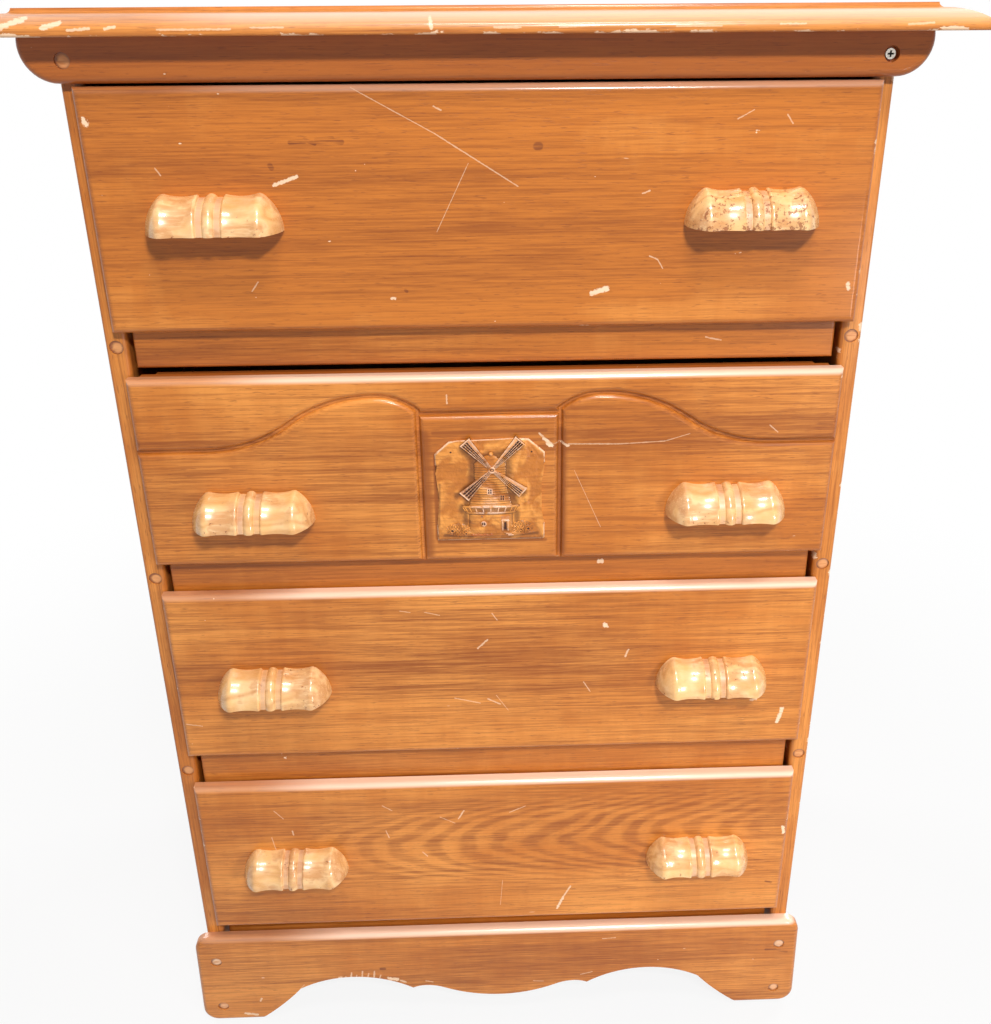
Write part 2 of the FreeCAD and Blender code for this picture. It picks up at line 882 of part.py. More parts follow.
def case_fixings():
    plugs = []
    screws = []
    for index, (hand, z, entry, deep, long, plugged) in enumerate(plugged_places()):
        seat = entry + deep
        screws.append(screw("CaseScrew%d" % index, seat, hand * plug_x, z, long, forward=False))
        if plugged:
            start = entry + named("plug_recess")
            end = seat - named("screw_head_tall") - named("plug_clear")
            radius = bore_radius - named("plug_clear")
            plugs.append(rod("Plug%d" % index, "y", radius, start, end, x=hand * plug_x, z=z))
    finish("wood_plugs", gather("WoodPlugs", plugs))
    finish("case_screws", gather("CaseScrews", screws))


def glide_places():
    """How far back the two glides under a side panel are."""
    reach = named("glide_wide") / 2 + named("glide_inset")
    return [named("stile_thick") + reach, case_deep - reach]


def foot_glides():
    """A disc with an eased lower edge, on a nail."""
    glides = []
    radius = named("glide_wide") / 2
    edge = named("glide_edge")
    for hand, side in HANDS:
        for index, y in enumerate(glide_places()):
            key = side + str(index)
            x = hand * plug_x
            eased = doc.addObject("Part::Cone", "GlideEased" + key)
            bind(eased, Radius1=radius - edge, Radius2=radius, Height=edge)
            place(eased, x, y, -foot)
            disc = rod("GlideDisc" + key, "z", radius, edge - foot, ZERO, x=x, y=y)
            nail_radius = named("glide_nail") / 2
            nail = rod("GlideNail" + key, "z", nail_radius, ZERO, named("glide_nail_long"), x=x, y=y)
            glides.append(fuse("Glide" + key, [eased, disc, nail]))
    finish("foot_glides", gather("FootGlides", glides))


# The drawers

def front_blank(n):
    """A drawer's front with its round-over and the holes for the pull screws."""
    body = new_body("Front%d" % n)
    outline = new_sketch(body, "FrontOutline%d" % n, "XZ_Plane", -front_back)
    draw_box(outline, -front_half(n), front_half(n), front_low(n), front_high(n))
    blank = pad(body, "FrontPad%d" % n, outline, front_thick)

    def face_edge(edge):
        return lies_at(edge, "y", front_face)

    round_edges(body, "FrontRound%d" % n, blank, named("front_round"), face_edge)
    holes = new_sketch(body, "FrontHoles%d" % n, "XZ_Plane", -front_face)
    for x, z in pull_screw_places(n):
        draw_circle(holes, x, z, shank_bore)
    pocket(body, "FrontHoleCut%d" % n, holes, front_thick)
    return place(body)


def bow_path(n):
    """The groove's centre line from the right end: level, up to a crown, and down to the upright."""
    low = front_high(n) - named("bow_end_below")
    high = front_high(n) - named("bow_crown_below")
    bend_x = named("bow_bend_in")
    crown_x = named("bow_crown_in")
    upright_x = named("upright_in")
    drop = named("bow_end_drop")
    sweep = level_arc((bend_x - crown_x) / 2, (high - low) / 2)
    return [
        (front_half(n) + overrun, low),
        (bend_x, low, -sweep),
        ((bend_x + crown_x) / 2, (low + high) / 2, sweep),
        (crown_x, high, level_arc(crown_x - upright_x, drop)),
        (upright_x, high - drop),
    ]


def cutter_outline():
    """The groove's section as (across, outward) points: a narrow floor between two rounded lips."""
    floor = named("groove_floor_half")
    lip = floor + named("groove_lip_wide")
    deep = named("groove_deep")
    lip_arc = swell_arc(named("groove_lip_wide"), deep, named("groove_lip_swell"))
    return [
        (-floor, -deep),
        (floor, -deep, -lip_arc),
        (lip, ZERO),
        (lip, overrun),
        (-lip, overrun),
        (-lip, ZERO, -lip_arc),
    ]


def cutter_sketch(name, corners, turn):
    """The cutter's section as a loose sketch, with its outward side towards -Y after the turn."""
    sketch = doc.addObject("Sketcher::SketchObject", name)
    sketch.Placement.Rotation = turn
    return draw_path(sketch, corners)


def cutter_run(name, section, start, end, x=ZERO, z=ZERO):
    """A straight groove's cutter, from start to end along its section's normal."""
    run = doc.addObject("Part::Extrusion", name)
    run.Base = section
    run.DirMode = "Normal"
    run.Solid = True
    bind(run, LengthFwd=size(end) - start)
    return place(run, x, front_face, z)


def grooved_front(n):
    """A front where a cutter with rounded lips has run a bow on each side, two uprights and a lintel."""
    across = FreeCAD.Rotation(FreeCAD.Vector(0, 1, 0), FreeCAD.Vector(0, 0, 1), FreeCAD.Vector(1, 0, 0))
    outline = cutter_outline()
    level_corners = [(-corner[1], corner[0], *corner[2:]) for corner in outline]
    upright_corners = [(corner[0], -corner[1], *[-radius for radius in corner[2:]]) for corner in outline]
    path = bow_path(n)
    spine = doc.addObject("Sketcher::SketchObject", "BowPath")
    spine.Placement.Rotation = FreeCAD.Rotation(FreeCAD.Vector(1, 0, 0), 90)
    place(draw_path(spine, path, closed=False), y=front_face)
    section = cutter_sketch("BowSection", level_corners, across)
    place(section, path[0][0], front_face, path[0][1])
    bow = doc.addObject("Part::Sweep", "BowSweep")
    bow.Sections = [section]
    bow.Spine = (spine, ["Edge%d" % index for index in range(1, len(path))])
    bow.Solid = True
    mirrored = doc.addObject("Part::Mirroring", "BowSweepLeft")
    mirrored.Source = bow
    mirrored.Normal = FreeCAD.Vector(1, 0, 0)
    grooves = [bow, mirrored]
    upright_x = named("upright_in")
    upright_top = path[-1][1]
    start = front_low(n) - overrun
    upright = cutter_sketch("UprightSection", upright_corners, FreeCAD.Rotation())
    floor = named("groove_floor_half")
    half_corners = [
        (ZERO, -overrun),
        (floor + named("groove_lip_wide"), -overrun),
        (floor + named("groove_lip_wide"), ZERO, -upright_corners[1][2]),
        (floor, named("groove_deep")),
        (ZERO, named("groove_deep")),
    ]
    half = cutter_sketch("PlungeSection", half_corners, FreeCAD.Rotation())
    for hand, side in HANDS:
        x = hand * upright_x
        grooves.append(cutter_run("Upright" + side, upright, start, upright_top, x, start))
        plunge = doc.addObject("Part::Revolution", "Plunge" + side)
        plunge.Source = half
        plunge.Axis = FreeCAD.Vector(0, 1, 0)
        plunge.Angle = 360
        plunge.Solid = True
        grooves.append(place(plunge, x, front_face, upright_top))
    lintel_z = front_high(n) - named("lintel_below")
    level = cutter_sketch("LintelSection", level_corners, across)
    grooves.append(cutter_run("Lintel", level, -upright_x, upright_x, -upright_x, lintel_z))
    return cut("FrontGrooved", front_blank(n), [fuse("GrooveCutter", grooves)])


def wall_span(hand):
    """Where a box side stands, and where the cuts in its inner face lie."""
    if hand > 0:
        return box_inner_half, box_half, box_inner_half, box_inner_half + joint_deep
    return -box_half, -box_inner_half, -box_inner_half - joint_deep, -box_inner_half


def bottom_span(n):
    """The lower and upper faces of a drawer's bottom."""
    low = box_low(n) + named("box_bottom_rise")
    return low, low + named("box_bottom_thick")


def box_front(n):
    key = "BoxFront%d" % n
    low = box_low(n)
    high = box_front_high(n)
    seat = box_front_back - joint_deep
    board = block(key + "Board", -box_half, box_half, front_back, box_front_back, low, high)
    tools = []
    for hand, side in HANDS:
        x0, x1, _, _ = wall_span(hand)
        tools.append(block(key + "Rabbet" + side, x0, x1, seat, box_front_back, low, high))
    under, over = bottom_span(n)
    groove = block(key + "Groove", -box_inner_half, box_inner_half, seat, box_front_back, under, over)
    tools.append(groove)
    for index, (x, z) in enumerate(pull_screw_places(n)):
        tools.append(rod(key + "Hole%d" % index, "y", shank_bore, front_back, box_front_back, x=x, z=z))
    finish("box_front_%d" % n, cut(key, board, tools))


def box_side(n, hand, side):
    key = "BoxSide" + side + str(n)
    low = box_low(n)
    high = box_side_high(n)
    start = box_front_back - joint_deep
    x0, x1, cut0, cut1 = wall_span(hand)
    under, over = bottom_span(n)
    board = block(key + "Board", x0, x1, start, box_end, low, high)
    tools = [
        block(key + "Groove", cut0, cut1, start, box_back_end, under, over),
        block(key + "Dado", cut0, cut1, box_back_end - box_thick, box_back_end, over, high),
    ]
    finish("box_side_%s_%d" % (side, n), cut(key, board, tools))


def box_back_and_bottom(n):
    half = box_inner_half + joint_deep
    under, over = bottom_span(n)
    high = box_side_high(n)
    back = block("BoxBack%d" % n, -half, half, box_back_end - box_thick, box_back_end, over, high)
    finish("box_back_%d" % n, back)
    start = box_front_back - joint_deep
    finish("box_bottom_%d" % n, block("BoxBottom%d" % n, -half, half, start, box_back_end, under, over))


def pull_profile():
    """Half of the turned shape, above its axis: domed ends, waisted barrels, grooves and a bead."""
    end = named("pull_long") / 2
    crest = named("pull_radius")
    dome = named("pull_dome_long")
    shoulder = named("pull_shoulder_radius")
    floor = named("pull_groove_radius")
    bead = named("pull_bead_half")
    corner = shoulder - floor
    dome_tall = crest - named("pull_ridge_rise")
    dome_x = end - dome
    ridge_x = dome_x - named("pull_ridge_long")
    ridge_z = crest - named("pull_ridge_fall")
    ridge_arc = named("pull_ridge_round")
    groove_x = bead + named("pull_groove_wide")
    shoulder_x = groove_x + corner
    dome_arc = level_arc(dome_tall, dome)
    waist_arc = swell_arc(ridge_x - shoulder_x, ridge_z - shoulder, named("pull_waist_sag"))
    bead_arc = swell_arc(2 * bead, ZERO, crest - floor)
    return [
        (end, ZERO, dome_arc),
        (dome_x, dome_tall, ridge_arc),
        (ridge_x, ridge_z, -waist_arc),
        (shoulder_x, shoulder, corner),
        (groove_x, floor),
        (bead, floor, bead_arc),
        (-bead, floor),
        (-groove_x, floor, corner),
        (-shoulder_x, shoulder, -waist_arc),
        (-ridge_x, ridge_z, ridge_arc),
        (-dome_x, dome_tall, dome_arc),
        (-end, ZERO),
    ]


def pull(n, hand, side):
    """A quarter of a turned spindle, flat at the back and underneath."""
    key = side + str(n)
    body = new_body("Pull" + key)
    profile = draw_path(new_sketch(body, "PullProfile" + key, "XZ_Plane"), pull_profile())
    turned = body.newObject("PartDesign::Revolution", "PullTurned" + key)
    turned.Profile = profile
    turned.ReferenceAxis = (profile, ["H_Axis"])
    turned.Angle = 90
    pilots = new_sketch(body, "PullPilots" + key, "XZ_Plane")
    for end in (-1, 1):
        draw_circle(pilots, end * named("pull_screw_apart") / 2, named("pull_screw_rise"), shank_bore)
    reach = named("pull_screw_long") - front_thick - box_thick + named("plug_clear")
    pocket(body, "PullPilotCut" + key, pilots, reach, along_normal=True)
    place(body, hand * pull_x(n), front_face, pull_low(n))
    finish("pull_%s_%d" % (side, n), body)


def pull_screws(n):
    screws = []
    for index, (x, z) in enumerate(pull_screw_places(n)):
        name = "PullScrew%d_%d" % (n, index)
        screws.append(screw(name, box_front_back, x, z, named("pull_screw_long"), forward=True))
    finish("pull_screws_%d" % n, gather("PullScrews%d" % n, screws))


# The relief plaque: a tile with a plain windmill of raised flats

def raise_form(body, name, outline, tall):
    """Raises an outline from the tile's face."""
    sketch = draw_path(new_sketch(body, name + "Outline", "XZ_Plane", named("plaque_thick")), outline)
    pad(body, name, sketch, tall)


def sail_outline(across, up):
    """A sail that widens from the hub to its tip, along one diagonal."""
    root = named("sail_root") / 2
    tip = named("sail_wide") / 2
    start = named("hub_radius")
    end = named("sail_long")
    corners = []
    for reach, half in ((start, -root), (end, -tip), (end, tip), (start, root)):
        x = named("hub_aside") + DIAGONAL_SHARE * (across * reach - up * half)
        z = named("hub_rise") + DIAGONAL_SHARE * (up * reach + across * half)
        corners.append((x, z))
    return corners


def plaque(n):
    half = named("plaque_wide") / 2
    tall = named("plaque_tall")
    clip = named("plaque_corner")
    waist = half - named("plaque_waist")
    relief = named("relief_tall")
    sail_thick = named("sail_thick")
    body = new_body("Plaque")
    right_side = [
        (half, ZERO),
        (half, named("plaque_foot_tall")),
        (waist, named("plaque_waist_low")),
        (waist, named("plaque_waist_high")),
        (half, named("plaque_head_low")),
        (half, tall - clip),
        (half - clip, tall),
    ]
    tile = right_side + [(-x, z) for x, z in reversed(right_side)]
    outline = draw_path(new_sketch(body, "TileOutline", "XZ_Plane"), tile)
    pad(body, "Tile", outline, named("plaque_thick"))
    bank = named("bank_long") / 2
    bank_z = named("bank_rise") + named("bank_tall") / 2
    bank_arc = swell_arc(2 * bank, ZERO, named("bank_tall") / 2)
    raise_form(body, "Bank", [(-bank, bank_z, bank_arc), (bank, bank_z, bank_arc)], relief / 2)
    store = named("store_wide") / 2
    gallery = named("gallery_wide") / 2
    gallery_low = named("gallery_rise")
    gallery_high = gallery_low + named("gallery_tall")
    store_low = named("store_rise")
    walls = [(-store, store_low), (store, store_low), (store, gallery_low), (-store, gallery_low)]
    raise_form(body, "Store", walls, relief)
    base = named("tower_wide") / 2
    neck = named("tower_neck") / 2
    neck_z = named("tower_rise")
    tower = [(-base, gallery_high), (base, gallery_high), (neck, neck_z), (-neck, neck_z)]
    raise_form(body, "Tower", tower, relief)
    deck = [
        (-gallery, gallery_low),
        (gallery, gallery_low),
        (gallery, gallery_high),
        (-gallery, gallery_high),
    ]
    raise_form(body, "Gallery", deck, relief + sail_thick / 2)
    cap = neck + named("cap_over")
    cap_arc = swell_arc(2 * cap, ZERO, named("cap_tall"))
    raise_form(body, "Cap", [(-cap, neck_z), (cap, neck_z, cap_arc)], relief)
    finial = new_sketch(body, "FinialOutline", "XZ_Plane", named("plaque_thick"))
    finial_z = neck_z + named("cap_tall") + named("finial_radius") / 2
    draw_circle(finial, ZERO, finial_z, named("finial_radius"))
    pad(body, "Finial", finial, relief)
    for across in (-1, 1):
        for up in (-1, 1):
            name = "Sail%d%d" % (across + 1, up + 1)
            raise_form(body, name, sail_outline(across, up), relief + sail_thick)
    hub = new_sketch(body, "HubOutline", "XZ_Plane", named("plaque_thick"))
    draw_circle(hub, named("hub_aside"), named("hub_rise"), named("hub_radius") + named("sail_root") / 2)
    pad(body, "Hub", hub, relief + 2 * sail_thick)
    place(body, ZERO, front_face, front_low(n) + named("plaque_rise"))
    finish("plaque", body)


# Build

top_board()
cornice_board()
base_board()
back_panel()
for hand, side in HANDS:
    side_panel(hand, side)
    stile(hand, side)
for n in DRAWERS:
    rail(n, "bottom_rail" if n == DRAWERS[-1] else "rail_%d" % n)
    for hand, side in HANDS:
        runner(n, hand, side)
case_fixings()
foot_glides()
for n in DRAWERS:
    finish("front_%d" % n, grooved_front(n) if n == PLAQUE_DRAWER else front_blank(n))
    box_front(n)
    box_back_and_bottom(n)
    pull_screws(n)
    for hand, side in HANDS:
        box_side(n, hand, side)
        pull(n, hand, side)
plaque(PLAQUE_DRAWER)
doc.recompute()

# Check every object before anything is written

for thing in doc.Objects:
    if {"Invalid", "Error"} & set(thing.State):
        raise ValueError("failed: " + thing.Name)
for label, thing in FINISHED.items():
    if thing.Label != label or thing.Shape.isNull() or not thing.Shape.isValid() or not thing.Shape.Solids:
        raise ValueError("bad shape: " + label)

os.makedirs(PARTS, exist_ok=True)
for label, thing in FINISHED.items():
    thing.Shape.exportStep(os.path.join(PARTS, label + ".step"))
print("%d sub-parts written" % len(FINISHED))
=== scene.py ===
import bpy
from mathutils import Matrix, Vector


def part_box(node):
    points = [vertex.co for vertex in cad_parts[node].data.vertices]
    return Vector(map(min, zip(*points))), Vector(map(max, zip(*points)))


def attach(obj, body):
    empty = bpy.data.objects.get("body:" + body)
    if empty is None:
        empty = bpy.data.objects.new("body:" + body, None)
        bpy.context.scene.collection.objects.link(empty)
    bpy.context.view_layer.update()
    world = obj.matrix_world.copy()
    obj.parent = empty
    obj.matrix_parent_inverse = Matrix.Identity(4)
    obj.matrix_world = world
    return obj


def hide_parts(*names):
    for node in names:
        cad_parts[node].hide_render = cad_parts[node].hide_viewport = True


bl_info = {
    "name": "Chest of Drawers",
    "version": (1, 0, 0),
    "blender": (4, 5, 0),
    "location": "3D View > Sidebar > Chest",
    "description": "Finishes the boards, pulls and plaque of a four-drawer chest and sets it on a pale floor",
    "category": "Object",
}

import bmesh
import bpy
import math
from dataclasses import dataclass
from mathutils import Matrix, Vector

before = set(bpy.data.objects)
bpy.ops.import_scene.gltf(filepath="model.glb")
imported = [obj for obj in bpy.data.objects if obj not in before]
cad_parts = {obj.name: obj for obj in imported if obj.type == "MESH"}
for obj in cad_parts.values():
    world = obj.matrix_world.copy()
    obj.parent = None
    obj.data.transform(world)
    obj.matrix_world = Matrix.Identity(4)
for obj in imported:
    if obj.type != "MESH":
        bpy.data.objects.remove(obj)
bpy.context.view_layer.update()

MM = 0.001
DRAWERS = (1, 2, 3, 4)
HANDS = ("left", "right")
WHITE = (1.0, 1.0, 1.0)
BLACK = (0.01, 0.01, 0.01)
RAYS = ("Camera", "Glossy", "Transmission")


# Nodes of the materials and the world

class Wire:
    """A socket in a material that can be used in sums."""

    def __init__(self, nodes, socket):
        self.nodes = nodes
        self.socket = socket

    def sum_of(self, operation, *parts):
        return self.nodes.make("Math", {"operation": operation}, dict(enumerate(parts)))

    def __add__(self, other):
        return self.sum_of("ADD", self, other)

    __radd__ = __add__

    def __sub__(self, other):
        return self.sum_of("SUBTRACT", self, other)

    def __rsub__(self, other):
        return self.sum_of("SUBTRACT", other, self)

    def __mul__(self, other):
        return self.sum_of("MULTIPLY", self, other)

    __rmul__ = __mul__

    def __truediv__(self, other):
        return self.sum_of("DIVIDE", self, other)

    def __abs__(self):
        return self.sum_of("ABSOLUTE", self)

    def least(self, other):
        return self.sum_of("MINIMUM", self, other)

    def most(self, other):
        return self.sum_of("MAXIMUM", self, other)

    def wave(self):
        """Swings between 0 and 1 and back while the value goes up by one."""
        return self.sum_of("SINE", self * math.tau) * 0.5 + 0.5

    def ramp(self, low, high, start=0.0, end=1.0):
        """Goes smoothly from start to end while the value goes from low to high."""
        sockets = {"Value": self, "From Min": low, "From Max": high, "To Min": start, "To Max": end}
        return self.nodes.make("MapRange", {"interpolation_type": "SMOOTHSTEP"}, sockets)

    def fall(self, low, high):
        """Goes smoothly from 1 to 0 while the value goes from low to high."""
        return self.ramp(low, high, 1.0, 0.0)


class Nodes:
    """The nodes of a material or of the world in the making."""

    def __init__(self, owner):
        owner.use_nodes = True
        self.tree = owner.node_tree
        self.tree.nodes.clear()

    def node(self, kind, settings=None, sockets=None):
        node = self.tree.nodes.new("ShaderNode" + kind)
        for name, value in (settings or {}).items():
            setattr(node, name, value)
        for key, value in (sockets or {}).items():
            self.feed(node.inputs[key], value)
        return node

    def make(self, kind, settings=None, sockets=None, output=0):
        return Wire(self, self.node(kind, settings, sockets).outputs[output])

    def feed(self, socket, value):
        if isinstance(value, Wire):
            self.tree.links.new(value.socket, socket)
        elif socket.type == "RGBA":
            socket.default_value = (*value, 1.0)
        else:
            socket.default_value = value

    def seen_directly(self):
        """One where the camera sees a thing, also in gloss or through glass, nought where it only lights."""
        path = self.node("LightPath").outputs
        camera, gloss, glass = (Wire(self, path["Is %s Ray" % way]) for way in RAYS)
        return camera.most(gloss).most(glass)


class Finish(Nodes):
    """A material in the making and the place on the chest that it reads."""

    def __init__(self, name):
        self.material = bpy.data.materials.new(name)
        super().__init__(self.material)
        self.spot = self.make("TexCoord", output="Object")

    def axis(self, letter):
        return self.make("SeparateXYZ", None, {0: self.spot}, output=letter)

    def noise(self, scale, shift=(0, 0, 0), detail=3.0, rough=0.5, bend=0.0, turn=(0, 0, 0)):
        """Noise with so many lumps to the metre along each axis."""
        place = {"Vector": self.spot, "Location": shift, "Rotation": turn, "Scale": scale}
        sockets = {
            "Vector": self.make("Mapping", None, place),
            "Scale": 1.0,
            "Detail": detail,
            "Roughness": rough,
            "Distortion": bend,
        }
        return self.make("TexNoise", None, sockets)

    def grain(self, cut, along, across, extra, **more):
        """Noise with so many lumps to the metre along and across the grain of a board."""
        return self.noise(cut.scale(along, across), cut.shift(extra), **more)

    def layered(self, colour, *layers):
        """A colour with others laid over it, each as far as its share says."""
        for share, over in layers:
            colour = self.make("Mix", {"data_type": "RGBA"}, {0: share, 6: colour, 7: over}, output=2)
        return colour

    def vector(self, operation, *parts, output=0):
        return self.make("VectorMath", {"operation": operation}, dict(enumerate(parts)), output)

    def done(self, colour, rough, height=None, deep=0.0, coat=(0.0, 0.03), gloss=0.5, metal=0.0):
        """The material, with a relief as deep as given and a clear coat of a weight and a roughness."""
        sockets = {
            "Base Color": colour,
            "Roughness": rough,
            "Metallic": metal,
            "Specular IOR Level": gloss,
            "Coat Weight": coat[0],
            "Coat Roughness": coat[1],
        }
        if height is not None:
            bump = {"Height": height, "Distance": deep, "Strength": 1.0}
            sockets["Normal"] = self.make("Bump", None, bump)
        self.show(self.make("BsdfPrincipled", None, sockets))
        return self.material

    def show(self, surface):
        self.node("OutputMaterial", None, {"Surface": surface})


# Wood

@dataclass
class Heart:
    """Nested arrowheads where a board was cut through the middle of its rings, in millimetres on its face."""
    tip: float
    high: float
    tilt: float = 0.03
    curve: float = 46.0
    apart: float = 38.0
    strength: float = 0.68

    def bands(self, finish, cut):
        """The wave of the arrowheads, and how far they show at each place."""
        apart = self.apart * MM
        sway = finish.grain(cut, 5, 16, 30.0, detail=2.0) - 0.5
        fuzz = finish.grain(cut, 24, 150, 31.0, rough=0.6) - 0.5
        ahead = finish.axis("X") - self.tip * MM
        aside = finish.axis("Z") - self.high * MM - ahead * self.tilt + sway * (9 * MM)
        depth = ahead - aside * aside * self.curve
        loose = sway * (3.4 * apart) + fuzz * (0.3 * apart)
        here = depth.ramp(-7.0 * apart, 0.0) * abs(aside).fall(34 * MM, 75 * MM)
        here = here * ahead.fall(7.0 * apart, 11.0 * apart)
        return ((depth + loose) / apart).wave(), here * self.strength


@dataclass
class WoodCut:
    """How one board was cut and stained: the way its grain runs, its place in the tree, its figure and tone,
    how chipped its edges are, and how pale and how far down in millimetres its upper edge is painted: partly
    rubbed thin, partly a painted highlight."""
    grain: str
    seed: float
    figure: float = 0.2
    rings: float = 8.0
    tone: float = 0.0
    red: float = 0.0
    heart: Heart = None
    worn: float = 0.0
    crest: float = 0.0
    crest_deep: float = 6.5

    def scale(self, along, across):
        return tuple(along if axis == self.grain else across for axis in "xyz")

    def shift(self, extra):
        return tuple(self.seed * step + extra for step in (1.7, 2.3, 3.1))


def edge_room(finish, box, upper=True):
    """How far a point of a board's face is from its ends and its lower edge, or its upper one too."""
    low, high = box
    x, z = finish.axis("X"), finish.axis("Z")
    room = (x - low[0]).least(high[0] - x).least(z - low[2])
    return room.least(high[2] - z) if upper else room


def mark_mask(finish, marks, ragged, soft=0.3):
    """Covers scratches, chips and stains, each given by its two ends and its width in millimetres. Their
    edges are torn by the ragged noise and fade over the soft share of half a width; fine ones show less."""
    flat = finish.vector("MULTIPLY", finish.spot, (1.0, 0.0, 1.0))
    loose = ragged * 2.4
    covered = None
    for x0, z0, x1, z1, wide in marks:
        start = Vector((x0, 0.0, z0)) * MM
        run = Vector((x1, 0.0, z1)) * MM - start
        reach = max(run.length, 0.05 * MM)
        along = run / reach
        from_start = finish.vector("SUBTRACT", flat, start)
        held = finish.vector("DOT_PRODUCT", from_start, along, output="Value").most(0.0).least(reach)
        foot = finish.make("VectorMath", {"operation": "SCALE"}, {0: along, "Scale": held})
        away = finish.vector("DISTANCE", from_start, foot, output="Value")
        half = wide * MM * 0.42
        here = (away / half + loose).ramp(1 - soft, 1 + soft, min(1.0, 0.25 + 0.2 * wide), 0.0)
        covered = here if covered is None else covered.most(here)
    return covered


def crest_mask(finish, cut, box):
    """The front of a board's upper edge, rubbed thin by hands and painted with a highlight; towards its left
    end the painted highlight fades.
    """
    crest = (box[1][2] - finish.axis("Z")).fall(2.0 * MM, cut.crest_deep * MM)
    crest = crest * finish.axis("X").ramp(-270 * MM, -170 * MM, 0.25, 1.0)
    return crest * (finish.axis("Y") - box[0][1]).fall(14 * MM, 24 * MM)


def chip_mask(finish, cut, box):
    """Chips along a board's ends and its lower edge."""
    chip = finish.noise((30, 30, 70), cut.shift(20.0), detail=5.0, rough=0.7)
    rim = edge_room(finish, box, upper=False).fall(0.0, 6.0 * MM)
    start = 0.755 - cut.worn * 0.045
    return (chip + rim * 0.16).ramp(start, start + 0.03) * rim.ramp(0.1, 0.4) * 0.8


def stained_wood(name, cut, tones, box=None):
    """Stained and lacquered wood with fibres, growth rings, bands of tone and the wear of its own board, with
    a painted highlight on its upper edge and painted shade beside cuts where these are given.
    """
    finish = Finish(name)
    fibre = finish.grain(cut, 16, 620, 0.3, detail=4.0, rough=0.65)
    line = finish.grain(cut, 3.5, 260, 1.9, detail=2.0)
    streak = finish.grain(cut, 2.6, 95, 1.1, detail=4.0, rough=0.6)
    flow = finish.grain(cut, 1.7, 13, 2.7, rough=0.55, bend=0.15)
    body = finish.grain(cut, 0.45, 6.5, 4.2, detail=2.0, rough=0.4)
    wander = finish.grain(cut, 7, 40, 5.9, rough=0.6)
    ripple = finish.grain(cut, 70, 16, 7.7, rough=0.55)
    blotch = finish.grain(cut, 6, 10, 8.6, rough=0.55)
    pore = finish.grain(cut, 70, 900, 9.4, detail=2.0, rough=0.6).ramp(0.6, 0.7)
    ring = (body * cut.rings + wander * 0.25).wave()
    dark = (ring.ramp(0.5, 1.0) * cut.figure * 0.7) + (streak.ramp(0.4, 0.72) * 0.24)
    dark = dark + flow.ramp(0.4, 0.74) * 0.42 + 0.13
    if cut.heart:
        wave, here = cut.heart.bands(finish, cut)
        dark = dark * (1 - here) + here * wave.ramp(0.1, 0.9) * 0.62
    dark = dark + (fibre.ramp(0.34, 0.66) - 0.5) * 0.52 + (line.ramp(0.35, 0.7) - 0.5) * 0.2
    pale = flow.fall(0.28, 0.5) * 0.55 + (ripple.ramp(0.32, 0.72) - 0.3) * 0.24
    pale = pale + (blotch.ramp(0.35, 0.68) - 0.5) * 0.8 + cut.tone
    layers = [(pale, tones.stain_pale), (dark.ramp(-0.15, 1.15), tones.stain_dark)]
    layers += [(cut.red, tones.stain_red), (pore * 0.42, tones.stain_pore)]
    speck = finish.noise((95, 95, 140), cut.shift(16.0), detail=2.0, rough=0.6).ramp(0.775, 0.795)
    hair = finish.noise((40, 40, 170), cut.shift(12.0), detail=1.0, turn=(0.0, 0.7, 0.0)).ramp(0.83, 0.85)
    worn = speck.most(hair * 0.5) * tones.wear
    coat = tones.lacquer
    if box:
        rim = edge_room(finish, box).fall(0.0, 7.0 * MM)
        layers.append((rim * blotch.ramp(0.2, 0.6) * 0.45, tones.stain_red))
    if cut.crest:
        crest = crest_mask(finish, cut, box)
        # Painted highlight, partly rubbed edge: a pale colour laid along the front of the upper edge
        layers.append((crest * fibre.ramp(0.1, 0.5, 0.6, 1.0) * cut.crest, tones.rubbed_and_highlight))
        coat = crest * (1 - coat) + coat
    if cut.worn:
        worn = worn.most(chip_mask(finish, cut, box))
    if name in MARKS:
        ragged = finish.noise((420, 420, 420), cut.shift(18.0), rough=0.6) - 0.5
        worn = worn.most(mark_mask(finish, MARKS[name], ragged) * fibre.ramp(0.25, 0.5, 0.45, 0.95))
    if name in SMUDGES:
        stain = mark_mask(finish, SMUDGES[name], (blotch - 0.5) * 1.6)
        layers.append((stain * fibre.ramp(0.3, 0.6) * 0.9, tones.stain_pore))
    # Painted shade beside the grooves and the tile of the second front
    if name in PAINTED_SHADES:
        painted_shade = mark_mask(finish, PAINTED_SHADES[name], (fibre - 0.5) * 0.1, soft=0.7)
        layers.append((painted_shade * 0.8, tones.stain_dark))
    colour = finish.layered(tones.stain_mid, *layers, (worn, tones.bare_wood))
    rough = (fibre - 0.5) * 0.1 + tones.satin + worn * 0.25
    height = (fibre - 0.5) * 0.5 - pore * 0.5 - worn * 1.6 + ripple * 0.35
    return finish.done(colour, rough, height, 0.1 * MM, coat=(coat, 0.16), gloss=0.2)


def plug_wood(name, tones, plugs):
    """End plugs of stained wood, dark round their rims, partly a dark joint and partly painted shade of the
    bore, and nearly bare where they are low on the case.
    """
    finish = Finish(name)
    grain = finish.noise((60, 60, 420), (5.2, 1.3, 2.4), rough=0.6)
    z = finish.axis("Z")
    bare = z.ramp(0.16, 0.12, 0.15, 0.75) * z.ramp(0.045, 0.06, 0.5, 1.0) * grain.ramp(0.2, 0.5)
    discs = [(across + 0.6, up - 0.6, across + 0.6, up - 0.6, 11.4) for across, up in plugs]
    inside = mark_mask(finish, discs, (grain - 0.5) * 0.4)
    colour = finish.layered(
        tones.stain_mid,
        (grain.ramp(0.3, 0.7), tones.stain_pale),
        (bare, tones.bare_wood),
        # Dark rim round each plug: partly a dark joint, partly painted shade of the bore
        (0.85 - inside * 0.85, tones.stain_pore),
    )
    return finish.done(colour, grain * 0.2 + 0.35, grain + inside * 2.0, 0.2 * MM, coat=(0.4, 0.15))


